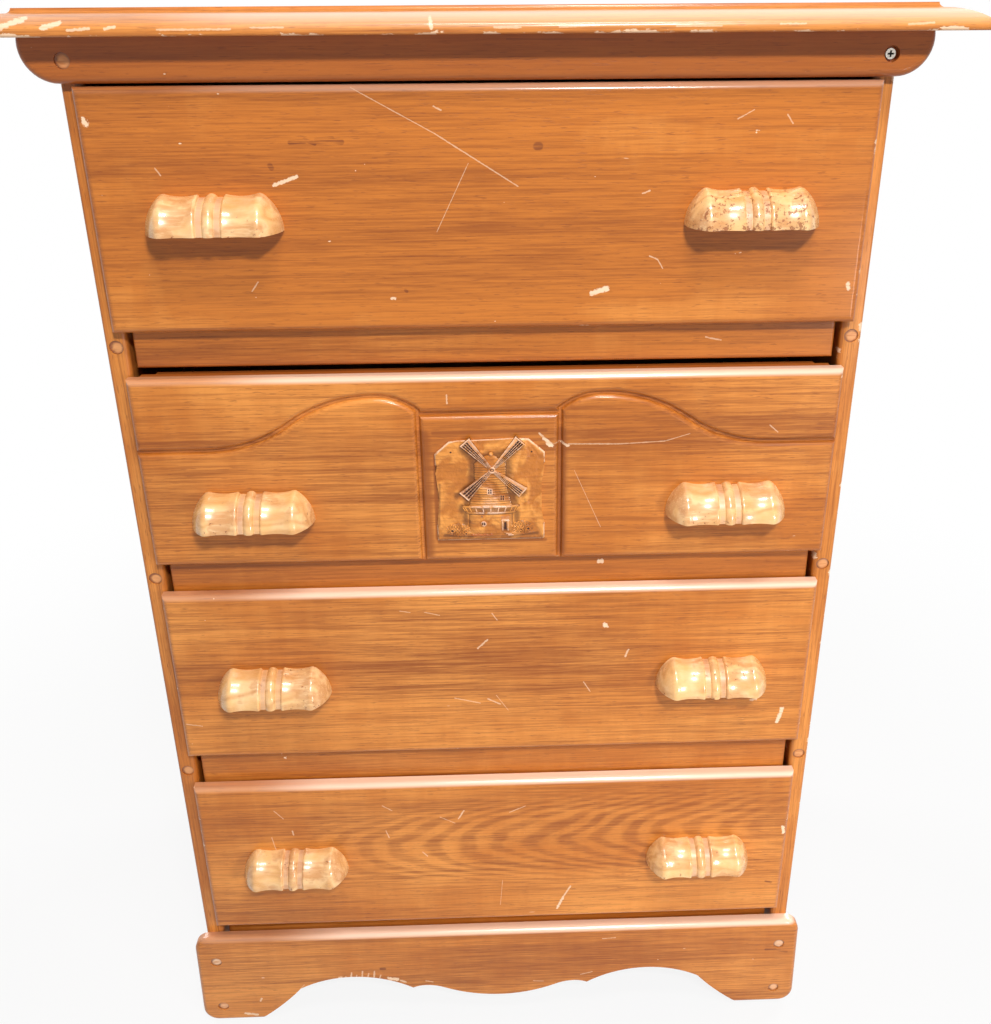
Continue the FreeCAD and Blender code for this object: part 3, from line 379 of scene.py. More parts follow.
def carved_wood(name, tones, foot):
    """Carved and stained wood: painted shade in its hollows and beside its forms, pale on its ridges and
    rim, partly rubbed wear and partly painted highlight, and redder on its red ground. The foot is the
    middle of the lower edge of the tile's face."""
    finish = Finish(name)
    wash = finish.make("Attribute", {"attribute_name": "wash"}, output="Fac")
    out = foot.y - finish.axis("Y")
    proud = out.ramp(2.2 * MM, 3.0 * MM)
    rim = out.fall(-0.8 * MM, -0.08 * MM)
    flat = out.fall(0.3 * MM, 0.8 * MM)
    grain = finish.noise((25, 25, 300), (3.1, 4.2, 5.3), detail=4.0, rough=0.6)
    dab = finish.noise((170, 170, 170), (6.4, 2.2, 1.3), rough=0.6)
    hollow = finish.noise((42, 42, 42), (8.8, 1.2, 7.3), detail=2.0, bend=0.8)
    shades = [tuple((part + base / MM) for part, base in zip(line[:4], (foot.x, foot.z) * 2)) + line[4:]
              for line in TILE_PAINTED_SHADES]
    # Painted shade and shadow on the tile beside the forms
    painted_shade = mark_mask(finish, shades, (dab - 0.5) * 0.3, soft=0.75)
    colour = finish.layered(
        tones.carved_mid,
        (hollow.ramp(0.44, 0.6), tones.carved_pale),
        (grain.ramp(0.45, 0.75) * 0.55, tones.stain_dark),
        # Painted shade and shadow beside the forms
        (painted_shade * flat * 0.62, tones.carved_shade),
        # Pale on the proud ridges: partly rubbed, partly painted highlight
        (proud * dab.ramp(0.3, 0.55) * 0.75, tones.rubbed_and_highlight),
        # Painted shade in hollows and where forms meet the tile
        (wash.most(0.0), tones.carved_shade),
        ((wash * -1.0).most(0.0) * 0.8, tones.stain_red),
        # Bare wood on the tile's rounded rim, partly worn and partly painted highlight
        (rim * dab.ramp(0.3, 0.5) * 0.85, tones.bare_wood),
    )
    height = hollow * 9.0 + dab * 3.0 + grain * 0.8
    return finish.done(colour, dab * 0.15 + 0.28, height, 0.5 * MM, coat=(0.22, 0.14), gloss=0.3)


def pull_wood(name, seed, tones, worn_share, box):
    """Honey wood under lacquer, dusty in its grooves and with darker worn specks."""
    finish = Finish(name)
    cut = WoodCut("x", seed)
    fibre = finish.grain(cut, 40, 520, 0.2, detail=4.0, rough=0.6)
    body = finish.grain(cut, 9, 34, 1.9, detail=2.0, bend=0.3)
    ring = (body * 6.0).wave()
    blotch = finish.noise((34, 34, 34), cut.shift(3.3), rough=0.6)
    aside = abs(finish.axis("X") - (box[0][0] + box[1][0]) / 2)
    groove = aside.ramp(3.8 * MM, 6.4 * MM) * aside.fall(8.6 * MM, 11.2 * MM)
    speck = finish.noise((260, 260, 260), cut.shift(5.1), detail=4.0, rough=0.7)
    spread = finish.noise((30, 30, 30), cut.shift(6.6), detail=1.0)
    low_rim = (finish.axis("Z") - box[0][2]).ramp(0.0, 7 * MM, 0.05, 0.0)
    worn = (speck + spread * 0.25 + low_rim).ramp(0.795 - worn_share, 0.83 - worn_share)
    tan = (blotch + spread * 0.3).ramp(0.66, 0.74) * fibre.ramp(0.2, 0.6)
    colour = finish.layered(
        tones.pull_mid,
        (blotch.ramp(0.35, 0.68), tones.pull_pale),
        ((ring * 0.4 + fibre * 0.6).ramp(0.2, 0.9) * 0.6, tones.pull_deep),
        (groove * blotch.ramp(0.3, 0.6, 0.3, 0.8), tones.pull_dust),
        (tan * 0.55, tones.pull_deep),
        (worn * 0.8, tones.stain_dark),
    )
    rough = (fibre - 0.5) * 0.08 + 0.27 + worn * 0.3
    return finish.done(colour, rough, (fibre - 0.5) * 0.4 - worn * 1.5, 0.1 * MM, coat=(0.6, 0.1))


def plain_wood(name, cut, tones):
    """Pale unstained wood for what the case hides."""
    finish = Finish(name)
    fibre = finish.grain(cut, 8, 500, 0.4, detail=4.0, rough=0.6)
    ring = (finish.grain(cut, 0.8, 9, 2.2, detail=2.0, bend=0.3) * 9.0).wave()
    colour = finish.layered(tones.inner_pale, (ring * 0.4 + fibre * 0.4, tones.inner_deep))
    return finish.done(colour, fibre * 0.1 + 0.55, fibre, 0.15 * MM)


def darker(colour, share):
    return tuple(part * share for part in colour)


# Where the cross of a screw fades out, along its slots and across them
CROSS_LONG = (2.4 * MM, 2.7 * MM)
CROSS_THIN = (0.6 * MM, 0.9 * MM)


def steel(name, colour, cross=None):
    """Worn steel. Where a middle is given in millimetres, the cross of a screw's recess is not cut but
    painted black there as painted shade.
    """
    finish = Finish(name)
    worn = finish.noise((900, 900, 900), rough=0.6)
    shade = finish.layered(colour, (worn.ramp(0.4, 0.7), darker(colour, 0.55)))
    if cross:
        aside, above = (abs(finish.axis(axis) - middle * MM) for axis, middle in zip("XZ", cross))
        level = aside.fall(*CROSS_LONG) * above.fall(*CROSS_THIN)
        upright = above.fall(*CROSS_LONG) * aside.fall(*CROSS_THIN)
        # Painted shade: the screw's cross recess painted black
        shade = finish.layered(shade, (level.most(upright), BLACK))
    return finish.done(shade, worn * 0.2 + 0.25, metal=1.0)


def pale_plastic(name, colour):
    """Plastic with faint darker clouds."""
    finish = Finish(name)
    worn = finish.noise((500, 500, 500))
    shade = finish.layered(colour, (worn, darker(colour, 0.8)))
    return finish.done(shade, worn * 0.15 + 0.35)


def paint_node(node, material):
    """Gives a finish to one part of the frame."""
    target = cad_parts[node]
    target.data.materials.clear()
    target.data.materials.append(material)


# Carved relief

class Relief:
    """Carved forms gathered into one mesh. Places are in millimetres: across the tile from its middle, out
    from its face and up from its foot. The shade and tint of a form is painted shade, up to 1 in a hollow,
    and -1 marks red ground."""

    def __init__(self, foot):
        self.foot = foot
        self.mesh = bmesh.new()
        self.wash = self.mesh.verts.layers.float.new("wash")

    def place(self, across, out, up):
        return self.foot + Vector((across, -out, up)) * MM

    def row(self, spots, washes):
        verts = [self.mesh.verts.new(self.place(*spot)) for spot in spots]
        for vert, wash in zip(verts, washes):
            vert[self.wash] = wash
        return verts

    def skin(self, rows):
        """Faces between rows of equally many vertices, and one over each end."""
        for row, beyond in zip(rows, rows[1:]):
            for index, vert in enumerate(row):
                after = (index + 1) % len(row)
                self.mesh.faces.new((vert, row[after], beyond[after], beyond[index]))
        self.mesh.faces.new(rows[0])
        self.mesh.faces.new(rows[-1])

    def loft(self, rings, washes=(0.0,)):
        """A closed form through rings of equally many places, with painted shade and tint ring by ring or all
        alike.
        """
        if len(washes) < len(rings):
            washes = washes * len(rings)
        rows = [self.row(ring, [wash] * len(ring)) for ring, wash in zip(rings, washes)]
        self.skin(rows)
        return rows

    # By default these forms have painted shade where they meet the tile and none on their faces
    def slab(self, outline, low, high, washes=(0.9, 0.0)):
        return self.loft([[(across, out, up) for across, up in outline] for out in (low, high)], washes)

    def block(self, across, up, wide, tall, low, high, washes=(0.9, 0.0)):
        corners = ((-1, -1), (1, -1), (1, 1), (-1, 1))
        outline = [(across + a * wide / 2, up + b * tall / 2) for a, b in corners]
        self.slab(outline, low, high, washes)

    def bar(self, start, end, widths, low, high, washes=(1.0, 0.45, 0.0)):
        """A straight bar with a narrower top; it is as wide as `widths` tells at its start and end."""
        start, end = Vector(start), Vector(end)
        run = (end - start).normalized()
        aside = Vector((-run.y, run.x))
        rings = []
        for out, share in ((low, 1.0), (high - 0.3, 1.0), (high, 0.5)):
            reach = run * (1 - share) * 0.3
            near, far = aside * widths[0] / 2 * share, aside * widths[1] / 2 * share
            spots = (start + reach - near, start + reach + near, end - reach + far, end - reach - far)
            rings.append([(spot.x, out, spot.y) for spot in spots])
        self.loft(rings, washes)

    def drum(self, levels, wash=0.0, steps=22):
        """Half a barrel on the tile, through levels (up, half its width, how far it bulges), or those and
        a shade and tint. It has painted shade where it meets the tile."""
        turns = [math.pi * step / steps for step in range(steps + 1)]
        rows = []
        for up, half, bulge, *own in levels:
            spots = [(half * math.cos(turn), bulge * math.sin(turn), up) for turn in turns]
            base = own[0] if own else wash
            rows.append(self.row(spots, [max(base, 0.95 * (1 - math.sin(turn)) ** 2) for turn in turns]))
        self.skin(rows)

    def turned(self, across, up, profile, wash=0.0, steps=24):
        """A form turned about a line straight out of the tile, through (radius, out)."""
        turns = [math.tau * step / steps for step in range(steps)]
        rings = [[(across + radius * math.cos(turn), out, up + radius * math.sin(turn)) for turn in turns]
                 for radius, out in profile]
        self.loft(rings, (wash,))

    def pebble(self, across, out, up, radii, turn=0.0, detail=2, wash=0.0):
        place = Matrix.Translation(self.place(across, out, up))
        shape = place @ Matrix.Rotation(turn, 4, "Y") @ Matrix.Diagonal((*(Vector(radii) * MM), 1.0))
        made = bmesh.ops.create_icosphere(self.mesh, subdivisions=detail, radius=1.0, matrix=shape)
        for vert in made["verts"]:
            vert[self.wash] = wash

    def finish(self, name, crease):
        """The piece, smooth but for edges that turn by more than the crease."""
        bmesh.ops.recalc_face_normals(self.mesh, faces=self.mesh.faces)
        for face in self.mesh.faces:
            face.smooth = True
        for edge in self.mesh.edges:
            edge.smooth = len(edge.link_faces) == 2 and edge.calc_face_angle() < crease
        return piece_of(self.mesh, name)


def piece_of(shape, name):
    """An object of the scene from a finished bmesh."""
    mesh = bpy.data.meshes.new(name)
    shape.to_mesh(mesh)
    shape.free()
    piece = bpy.data.objects.new(name, mesh)
    bpy.context.scene.collection.objects.link(piece)
    return piece


# Settings

def tone(name, text, default):
    return bpy.props.FloatVectorProperty(
        name=name, description=text, default=default, subtype="COLOR", size=3, min=0.0, max=1.0)


def level(name, text, default, low=0.0):
    return bpy.props.FloatProperty(
        name=name, description=text, default=default, min=low, max=1.0, subtype="FACTOR")


def count(name, text, default, low, high):
    return bpy.props.IntProperty(name=name, description=text, default=default, min=low, max=high)


def relief_size(name, text, default, most):
    """A size of the plaque, given in millimetres."""
    return bpy.props.FloatProperty(
        name=name, description=text, default=default * MM, min=0.0001, max=most * MM, unit="LENGTH")


def power(name, text, default):
    return bpy.props.FloatProperty(
        name=name, description=text, default=default, min=0.0, max=500.0, unit="POWER")


class CHEST_PG_tones(bpy.types.PropertyGroup):
    """Colours and gloss of the woods."""
    stain_pale: tone("Pale stain", "Lightest colour of the stained boards", (0.78, 0.3, 0.06))
    stain_mid: tone("Stain", "Main colour of the stained boards", (0.58, 0.18, 0.024))
    stain_dark: tone("Dark stain", "Growth rings and streaks", (0.29, 0.074, 0.01))
    stain_red: tone("Red stain", "Boards that took more stain", (0.38, 0.092, 0.016))
    stain_pore: tone("Pores", "Short dark pores in the grain", (0.18, 0.042, 0.01))
    bare_wood: tone("Bare wood", "Chips and scratches", (0.92, 0.66, 0.44))
    # Partly painted highlight: the pale of rubbed upper edges and of the plaque's ridges
    rubbed_and_highlight: tone("Rubbed edge", "Upper edges where the stain is rubbed thin", (0.97, 0.66, 0.48))
    carved_pale: tone("Pale carving", "Lightest flat of the plaque", (0.8, 0.32, 0.065))
    carved_mid: tone("Carving", "Main colour of the plaque", (0.52, 0.17, 0.026))
    # This colour is painted shade in the plaque's hollows and beside its forms
    carved_shade: tone("Carved hollows", "Stain left in the hollows", (0.06, 0.014, 0.004))
    pull_pale: tone("Pale pull", "Lightest colour of the pulls", (0.93, 0.63, 0.33))
    pull_mid: tone("Pull", "Main colour of the pulls", (0.87, 0.5, 0.19))
    pull_deep: tone("Deep pull", "Grain of the pulls", (0.56, 0.21, 0.045))
    pull_dust: tone("Groove dust", "Dust and old wax in the pulls' grooves", (0.62, 0.36, 0.22))
    inner_pale: tone("Inner wood", "Unstained wood", (0.72, 0.52, 0.32))
    inner_deep: tone("Inner grain", "Grain of the unstained wood", (0.5, 0.31, 0.16))
    satin: level("Satin", "Roughness of the wood", 0.34, 0.05)
    lacquer: level("Lacquer", "Strength of the clear coat", 0.38)
    wear: level("Wear", "Strength of hair scratches and specks", 1.0)


class CHEST_PG_plaque(bpy.types.PropertyGroup):
    """Sizes of the relief on the plaque."""
    boards: count("Boards", "Rows of boards on the tower", 17, 4, 30)
    slats: count("Slats", "Slats across each sail", 12, 4, 30)
    pickets: count("Pickets", "Posts of the gallery", 11, 4, 60)
    leaves: count("Leaves", "Leaves of each bush", 75, 8, 200)
    tile_thick: relief_size("Tile", "Thickness of the tile", 2.8, 5.0)
    tile_round: relief_size("Tile edge", "Rounding of the tile's front edge", 2.2, 2.5)
    sail_wide: relief_size("Sail", "Width of a sail at its tip", 11.0, 16.0)


class CHEST_PG_stage(bpy.types.PropertyGroup):
    """Light, floor and camera."""
    key_power: power("Key lamp", "Power of the lamp ahead", 39.0)
    ceiling_power: power("Ceiling lamp", "Power of the lamp overhead", 22.0)
    side_power: power("Side lamp", "Power of the low lamp at the right", 2.0)
    rear_power: power("Rear lamps", "Power of each of the two lamps behind", 42.0)
    room_light: level("Room light", "Strength of the light from all round", 0.1)
    floor_white: level("Floor white", "How far the floor is seen as plain white", 0.88)
    floor_tone: tone("Floor", "Colour of the floor", (0.55, 0.54, 0.53))


# Boards, their wear and their fixings

BOARDS = {
    "top_board": WoodCut("x", 1.3, figure=0.1, rings=7, tone=1.0, worn=1.5, crest=0.65, crest_deep=19.0),
    "cornice_board": WoodCut("x", 2.6, tone=-0.6, red=0.5),
    "base_board": WoodCut("x", 3.4, tone=0.5, red=0.05, worn=1.3, crest=0.85),
    "side_panel_left": WoodCut("z", 4.7, figure=0.3, rings=9),
    "side_panel_right": WoodCut("z", 5.2, figure=0.3, rings=9),
    "stile_left": WoodCut("z", 6.1, figure=0.15, rings=7, tone=0.15),
    "stile_right": WoodCut("z", 7.9, figure=0.15, rings=7, tone=0.65, worn=0.35),
    "rail_1": WoodCut("x", 8.8, rings=7, tone=-0.1),
    "rail_2": WoodCut("x", 9.3, rings=7, tone=-0.1, red=0.05),
    "rail_3": WoodCut("x", 10.7, rings=7, red=0.05),
    "bottom_rail": WoodCut("x", 11.2, rings=7, red=0.1),
}
FRONTS = {
    "front_1": WoodCut("x", 21.4, figure=0.22, tone=-0.32, worn=0.3, crest=0.35),
    "front_2": WoodCut("x", 22.9, figure=0.18, tone=0.28, worn=0.1, crest=0.85),
    "front_3": WoodCut("x", 23.3, figure=0.18, rings=7, tone=0.55, worn=0.3, crest=0.9),
    "front_4": WoodCut("x", 24.6, rings=9, tone=0.35, worn=0.3, crest=0.9, heart=Heart(-62, 266)),
}
# Scratches and chips: two ends and a width, in millimetres across from the middle and up from the floor
MARKS = {
    "front_1": (
        (-106, 1059, -40, 1023, 0.9), (-40, 1023, 28, 980, 1.2), (-13, 999, -41, 943, 0.8),
        (-40, 1044, -34, 1041, 1.5), (-174, 983, -155, 990, 3.4), (92, 888, 105, 892, 5),
        (141, 920, 148, 917, 1.4), (148, 917, 153, 909, 1.2), (133, 973, 139, 975, 1.6),
        (209, 1032, 222, 1039, 1.1), (250, 1035, 255, 1028, 1.3), (-321, 1036, -320, 1033, 5),
        (-202, 894, -196, 902, 1.3), (-82, 886, -80, 886, 3), (-270, 998, -266, 992, 1.3),
        (317, 893, 318, 889, 4),
    ),
    "front_2": (
        (46, 757, 51, 752, 2), (50, 752, 55, 748, 3.2), (54, 747, 57, 745, 4.6), (67, 747, 73, 744, 2.6),
        (57, 746, 67, 748, 0.8), (73, 746, 121, 745, 1.3), (121, 745, 163, 747, 1.1),
        (163, 747, 186, 754, 0.9), (-38, 796, -38, 788, 1.5), (260, 761, 268, 754, 1.2),
        (79, 719, 105, 659, 0.7),
    ),
    "front_3": (
        (-68, 568, -53, 564, 1), (-92, 570, -82, 568, 1), (-1, 565, 4, 557, 1.2), (-16, 524, -6, 534, 2),
        (112, 549, 114, 547, 5), (134, 510, 137, 518, 2.2), (92, 480, 99, 468, 1.3),
        (-41, 464, -15, 457, 1.2), (-7, 462, 6, 455, 1.6), (2, 466, 14, 447, 0.9),
        (268, 452, 273, 453, 3.2), (298, 423, 302, 440, 4.6), (-319, 440, -303, 437, 1.2),
        (200, 485, 203, 481, 1.6),
    ),
    "front_4": (
        (-122, 290, -119, 280, 1.4), (-83, 258, -78, 252, 1.4), (-42, 304, -36, 315, 2),
        (14, 311, 31, 319, 1.2), (-241, 322, -232, 311, 1.1), (-224, 294, -223, 288, 1.8),
        (-247, 285, -244, 267, 1.2), (-62, 307, -46, 298, 1), (67, 168, 74, 185, 3.2),
        (74, 185, 82, 201, 2.2), (318, 279, 320, 270, 4.2), (2, 176, 5, 213, 0.8),
        (-124, 325, -114, 318, 1.2),
    ),
    "top_board": (
        (-366, 1104, -347, 1111, 5), (-331, 1105, -319, 1108, 4), (-312, 1103, -296, 1104, 2.4),
        (-284, 1104, -277, 1105, 2.6), (-245, 1103, -190, 1103, 1.7), (-175, 1104, -150, 1104, 1.4),
        (-39, 1110, -38, 1103, 3), (10, 1103, 30, 1103, 1.9), (60, 1103, 90, 1104, 1.5),
        (150, 1103, 185, 1103, 1.4), (230, 1104, 250, 1104, 1.5), (330, 1103, 350, 1104, 1.7),
    ),
    "rail_1": ((198, 842, 212, 839, 1.6),),
    "rail_2": ((106, 613, 109, 613, 5),),
    "base_board": (
        (-190, 68, -187, 69, 2.6), (-183, 66, -182, 69, 2), (-176, 67, -175, 75, 2.2),
        (-170, 68, -169, 71, 1.7), (-163, 68, -162, 77, 2), (-156, 68, -155, 73, 1.8),
        (-149, 67, -148, 76, 2.2), (-142, 66, -141, 70, 2), (-131, 64, -122, 62, 5.5),
        (-118, 60, -112, 57, 2.6), (-88, 58, -80, 56, 1.6), (121, 117, 136, 118, 1.4),
        (-280, 72, -278, 72, 1.8), (-306, 14, -292, 11, 3.6), (96, 60, 110, 64, 1.4),
        (-286, 34, -284, 38, 2.4), (40, 52, 52, 51, 1.3), (-238, 50, -232, 58, 1.2),
    ),
}
# Dark stains and dents, in the same way
SMUDGES = {
    "front_1": (
        (-158, 1017, -146, 1018, 5), (-146, 1019, -138, 1016, 4), (-136, 1018, -124, 1019, 5.5),
        (-122, 1018, -116, 1017, 4), (44, 1012, 46, 1012, 6), (-176, 999, -175, 997, 5),
        (-70, 893, -69, 892, 3),
    ),
    "front_4": ((306, 199, 312, 197, 5),),
    "base_board": ((316, 91, 327, 90, 3.4), (327, 90, 341, 86, 3), (-140, 80, -136, 80, 4)),
    "cornice_board": ((20, 1094, 120, 1093, 2),),
}
# Painted shade: soft dark bands beside the cuts of the second front and round the plaque's tile
PAINTED_SHADES = {
    "front_2": (
        (-60, 634, -60, 757, 11), (67, 634, 67, 757, 11), (-50, 646.5, 52, 646.5, 4),
        (-51.8, 650, -51, 737, 4), (-52, 759, 52, 760, 4),
    ),
}
PLUG_ACROSS = 330.5
PLUGS_UP = (841.6, 605.4, 369.2, 99.3, 27.1)
CORNICE_SCREW_UP = 1080.7


def stain_boards(boards, tones):
    for node, cut in boards.items():
        paint_node(node, stained_wood(node, cut, tones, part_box(node)))


class CHEST_OT_stain_case(bpy.types.Operator):
    """Stain the boards of the case and the plugs over its screws"""
    bl_idname = "chest.stain_case"
    bl_label = "Stain the Case"

    def execute(self, context):
        tones = context.scene.chest_tones
        stain_boards(BOARDS, tones)
        plugs = [(side * PLUG_ACROSS, up) for side in (-1, 1) for up in PLUGS_UP]
        plugs.append((-PLUG_ACROSS, CORNICE_SCREW_UP))
        paint_node("wood_plugs", plug_wood("wood_plugs", tones, plugs))
        return {"FINISHED"}


class CHEST_OT_stain_fronts(bpy.types.Operator):
    """Stain the four drawer fronts, each cut from its own board"""
    bl_idname = "chest.stain_fronts"
    bl_label = "Stain the Drawer Fronts"

    def execute(self, context):
        stain_boards(FRONTS, context.scene.chest_tones)
        return {"FINISHED"}


class CHEST_OT_finish_pulls(bpy.types.Operator):
    """Lacquer the eight pulls; the right one of the top drawer is the most worn"""
    bl_idname = "chest.finish_pulls"
    bl_label = "Finish the Pulls"

    def execute(self, context):
        tones = context.scene.chest_tones
        for n in DRAWERS:
            for index, side in enumerate(HANDS):
                node = "pull_%s_%d" % (side, n)
                worn = 0.09 if (n, side) == (1, "right") else 0.0
                paint_node(node, pull_wood(node, 30 + 2.3 * n + 1.1 * index, tones, worn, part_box(node)))
        return {"FINISHED"}


# Outline of the tile, clockwise from its lower left corner, across from its middle and up from its foot
TILE_OUTLINE = (
    (-51.3, 0.3), (-51.4, 16.3), (-48.6, 17.4), (-48.1, 45), (-48.8, 71.5), (-51.2, 79), (-51.4, 89.8),
    (-38, 101.9), (-31, 102.8), (-10, 103.3), (6, 103.8), (20, 104.4), (36, 104), (51.2, 90.3),
    (51.3, 80.8), (48.9, 77.6), (48.2, 60), (48.4, 30), (48.5, 18.6), (51, 16.8), (51.1, 1.6), (49.6, 0.3),
)
HUB = (1.8, 74.6)
# Each sail: its direction in degrees, its length, the side of its wide board and that board's share
SAILS = ((131.0, 37.6, -1, 0.3), (48.0, 39.4, 1, 0.34), (-39.0, 37.2, 1, 0.36), (225.5, 37.8, -1, 0.14))
# Along a sail: where it starts and its width there, its first slat, and its last one's distance from the tip
SAIL_ROOT = 2.2
SAIL_ROOT_WIDE = 2.4
FIRST_SLAT = 6.0
LAST_SLAT_SHORT = 1.5
# Painted shade and shadow on the tile beside the forms: two ends and a width
TILE_PAINTED_SHADES = (
    (-24, 8, -24, 29, 6), (-23.5, 37, -17.5, 64, 7), (-17, 64, -16.5, 82, 8), (-27, 31, -27, 37, 7),
    (24.5, 10, 24.5, 29, 6), (22.5, 38, 17, 62, 8), (17, 62, 16.5, 82, 9), (-25, 95, -2, 70, 9),
    (-32, 47, -8, 70, 6), (12, 70, 30, 50, 9), (6, 76, 26, 98, 9), (-12, 86, 14, 90, 8),
    (-49.5, 17, -47.5, 60, 2.6), (-50, 2, 50, 2, 2), (-44, 6, -18, 4.5, 4), (18, 5, 44, 7, 4),
)
# Half barrels of the mill: up from the tile's foot, half the width, bulge in front of the tile, own painted
# shade
STORE_LEVELS = ((8.6, 20.8, 2.2), (30.2, 20.8, 2.2))
GALLERY_FLOOR = ((28.4, 21.0, 2.3, 0.95), (29.6, 23.6, 2.9, 0.3), (30.2, 24.4, 3.2), (31.4, 24.4, 3.2, 0.2))
GALLERY_INSIDE = ((31.2, 24.0, 2.5), (36.4, 26.0, 2.6))
GALLERY_RAIL = ((35.6, 26.6, 2.8, 0.95), (35.9, 27.4, 3.4, 0.2), (37.2, 27.6, 3.5), (37.8, 27.0, 3.1, 0.3))
TOWER_LEVELS = ((37.4, 20.6, 2.3), (54.0, 16.2, 2.0), (64.5, 14.9, 1.8), (79.6, 14.9, 1.7))
CAP_LEVELS = (
    (79.4, 15.6, 1.9), (80.4, 15.6, 1.9), (82.6, 13.4, 1.8), (85.2, 10.4, 1.7), (86.2, 7.4, 1.7),
    (87.6, 6.8, 1.6), (88.6, 4.4, 1.4), (89.0, 1.6, 1.0),
)
PORTHOLE = (-7.0, 18.9)
LANTERN = (-8.4, 26.6)
DOOR_ACROSS = 13.6
DOOR_UP = 16.4
DOOR_TALL = 10.4
WINDOWS = ((-0.6, 52.8), (11.0, 46.0))
TOWER_ROUND = 18.0
GROUND_STEPS = 24
MOUND_STONES = 14
# Each bush: its middle, its height up, half its width and half its height
BUSHES = ((-31.0, 12.2, 11.6, 6.6), (29.2, 13.6, 11.0, 7.0))
# Each flower: its middle, its height up and its radius
FLOWERS = ((-37.0, 11.6, 2.1), (35.4, 12.6, 2.0), (28.4, 12.0, 1.6), (-24.0, 8.4, 1.5))
# The golden angle, by which each leaf is turned on from the one before
LEAF_TURN = math.pi * (3 - math.sqrt(5))


def between(levels, up):
    """Half the width and the bulge at a height, straight between the levels around it."""
    for below, above in zip(levels, levels[1:]):
        if up <= above[0]:
            break
    share = (up - below[0]) / (above[0] - below[0])
    return [a + (b - a) * share for a, b in zip(below[1:], above[1:])]


def dome(share):
    """How high a round dome stands at a share of its half width."""
    return math.sqrt(max(0.0, 1 - share * share))


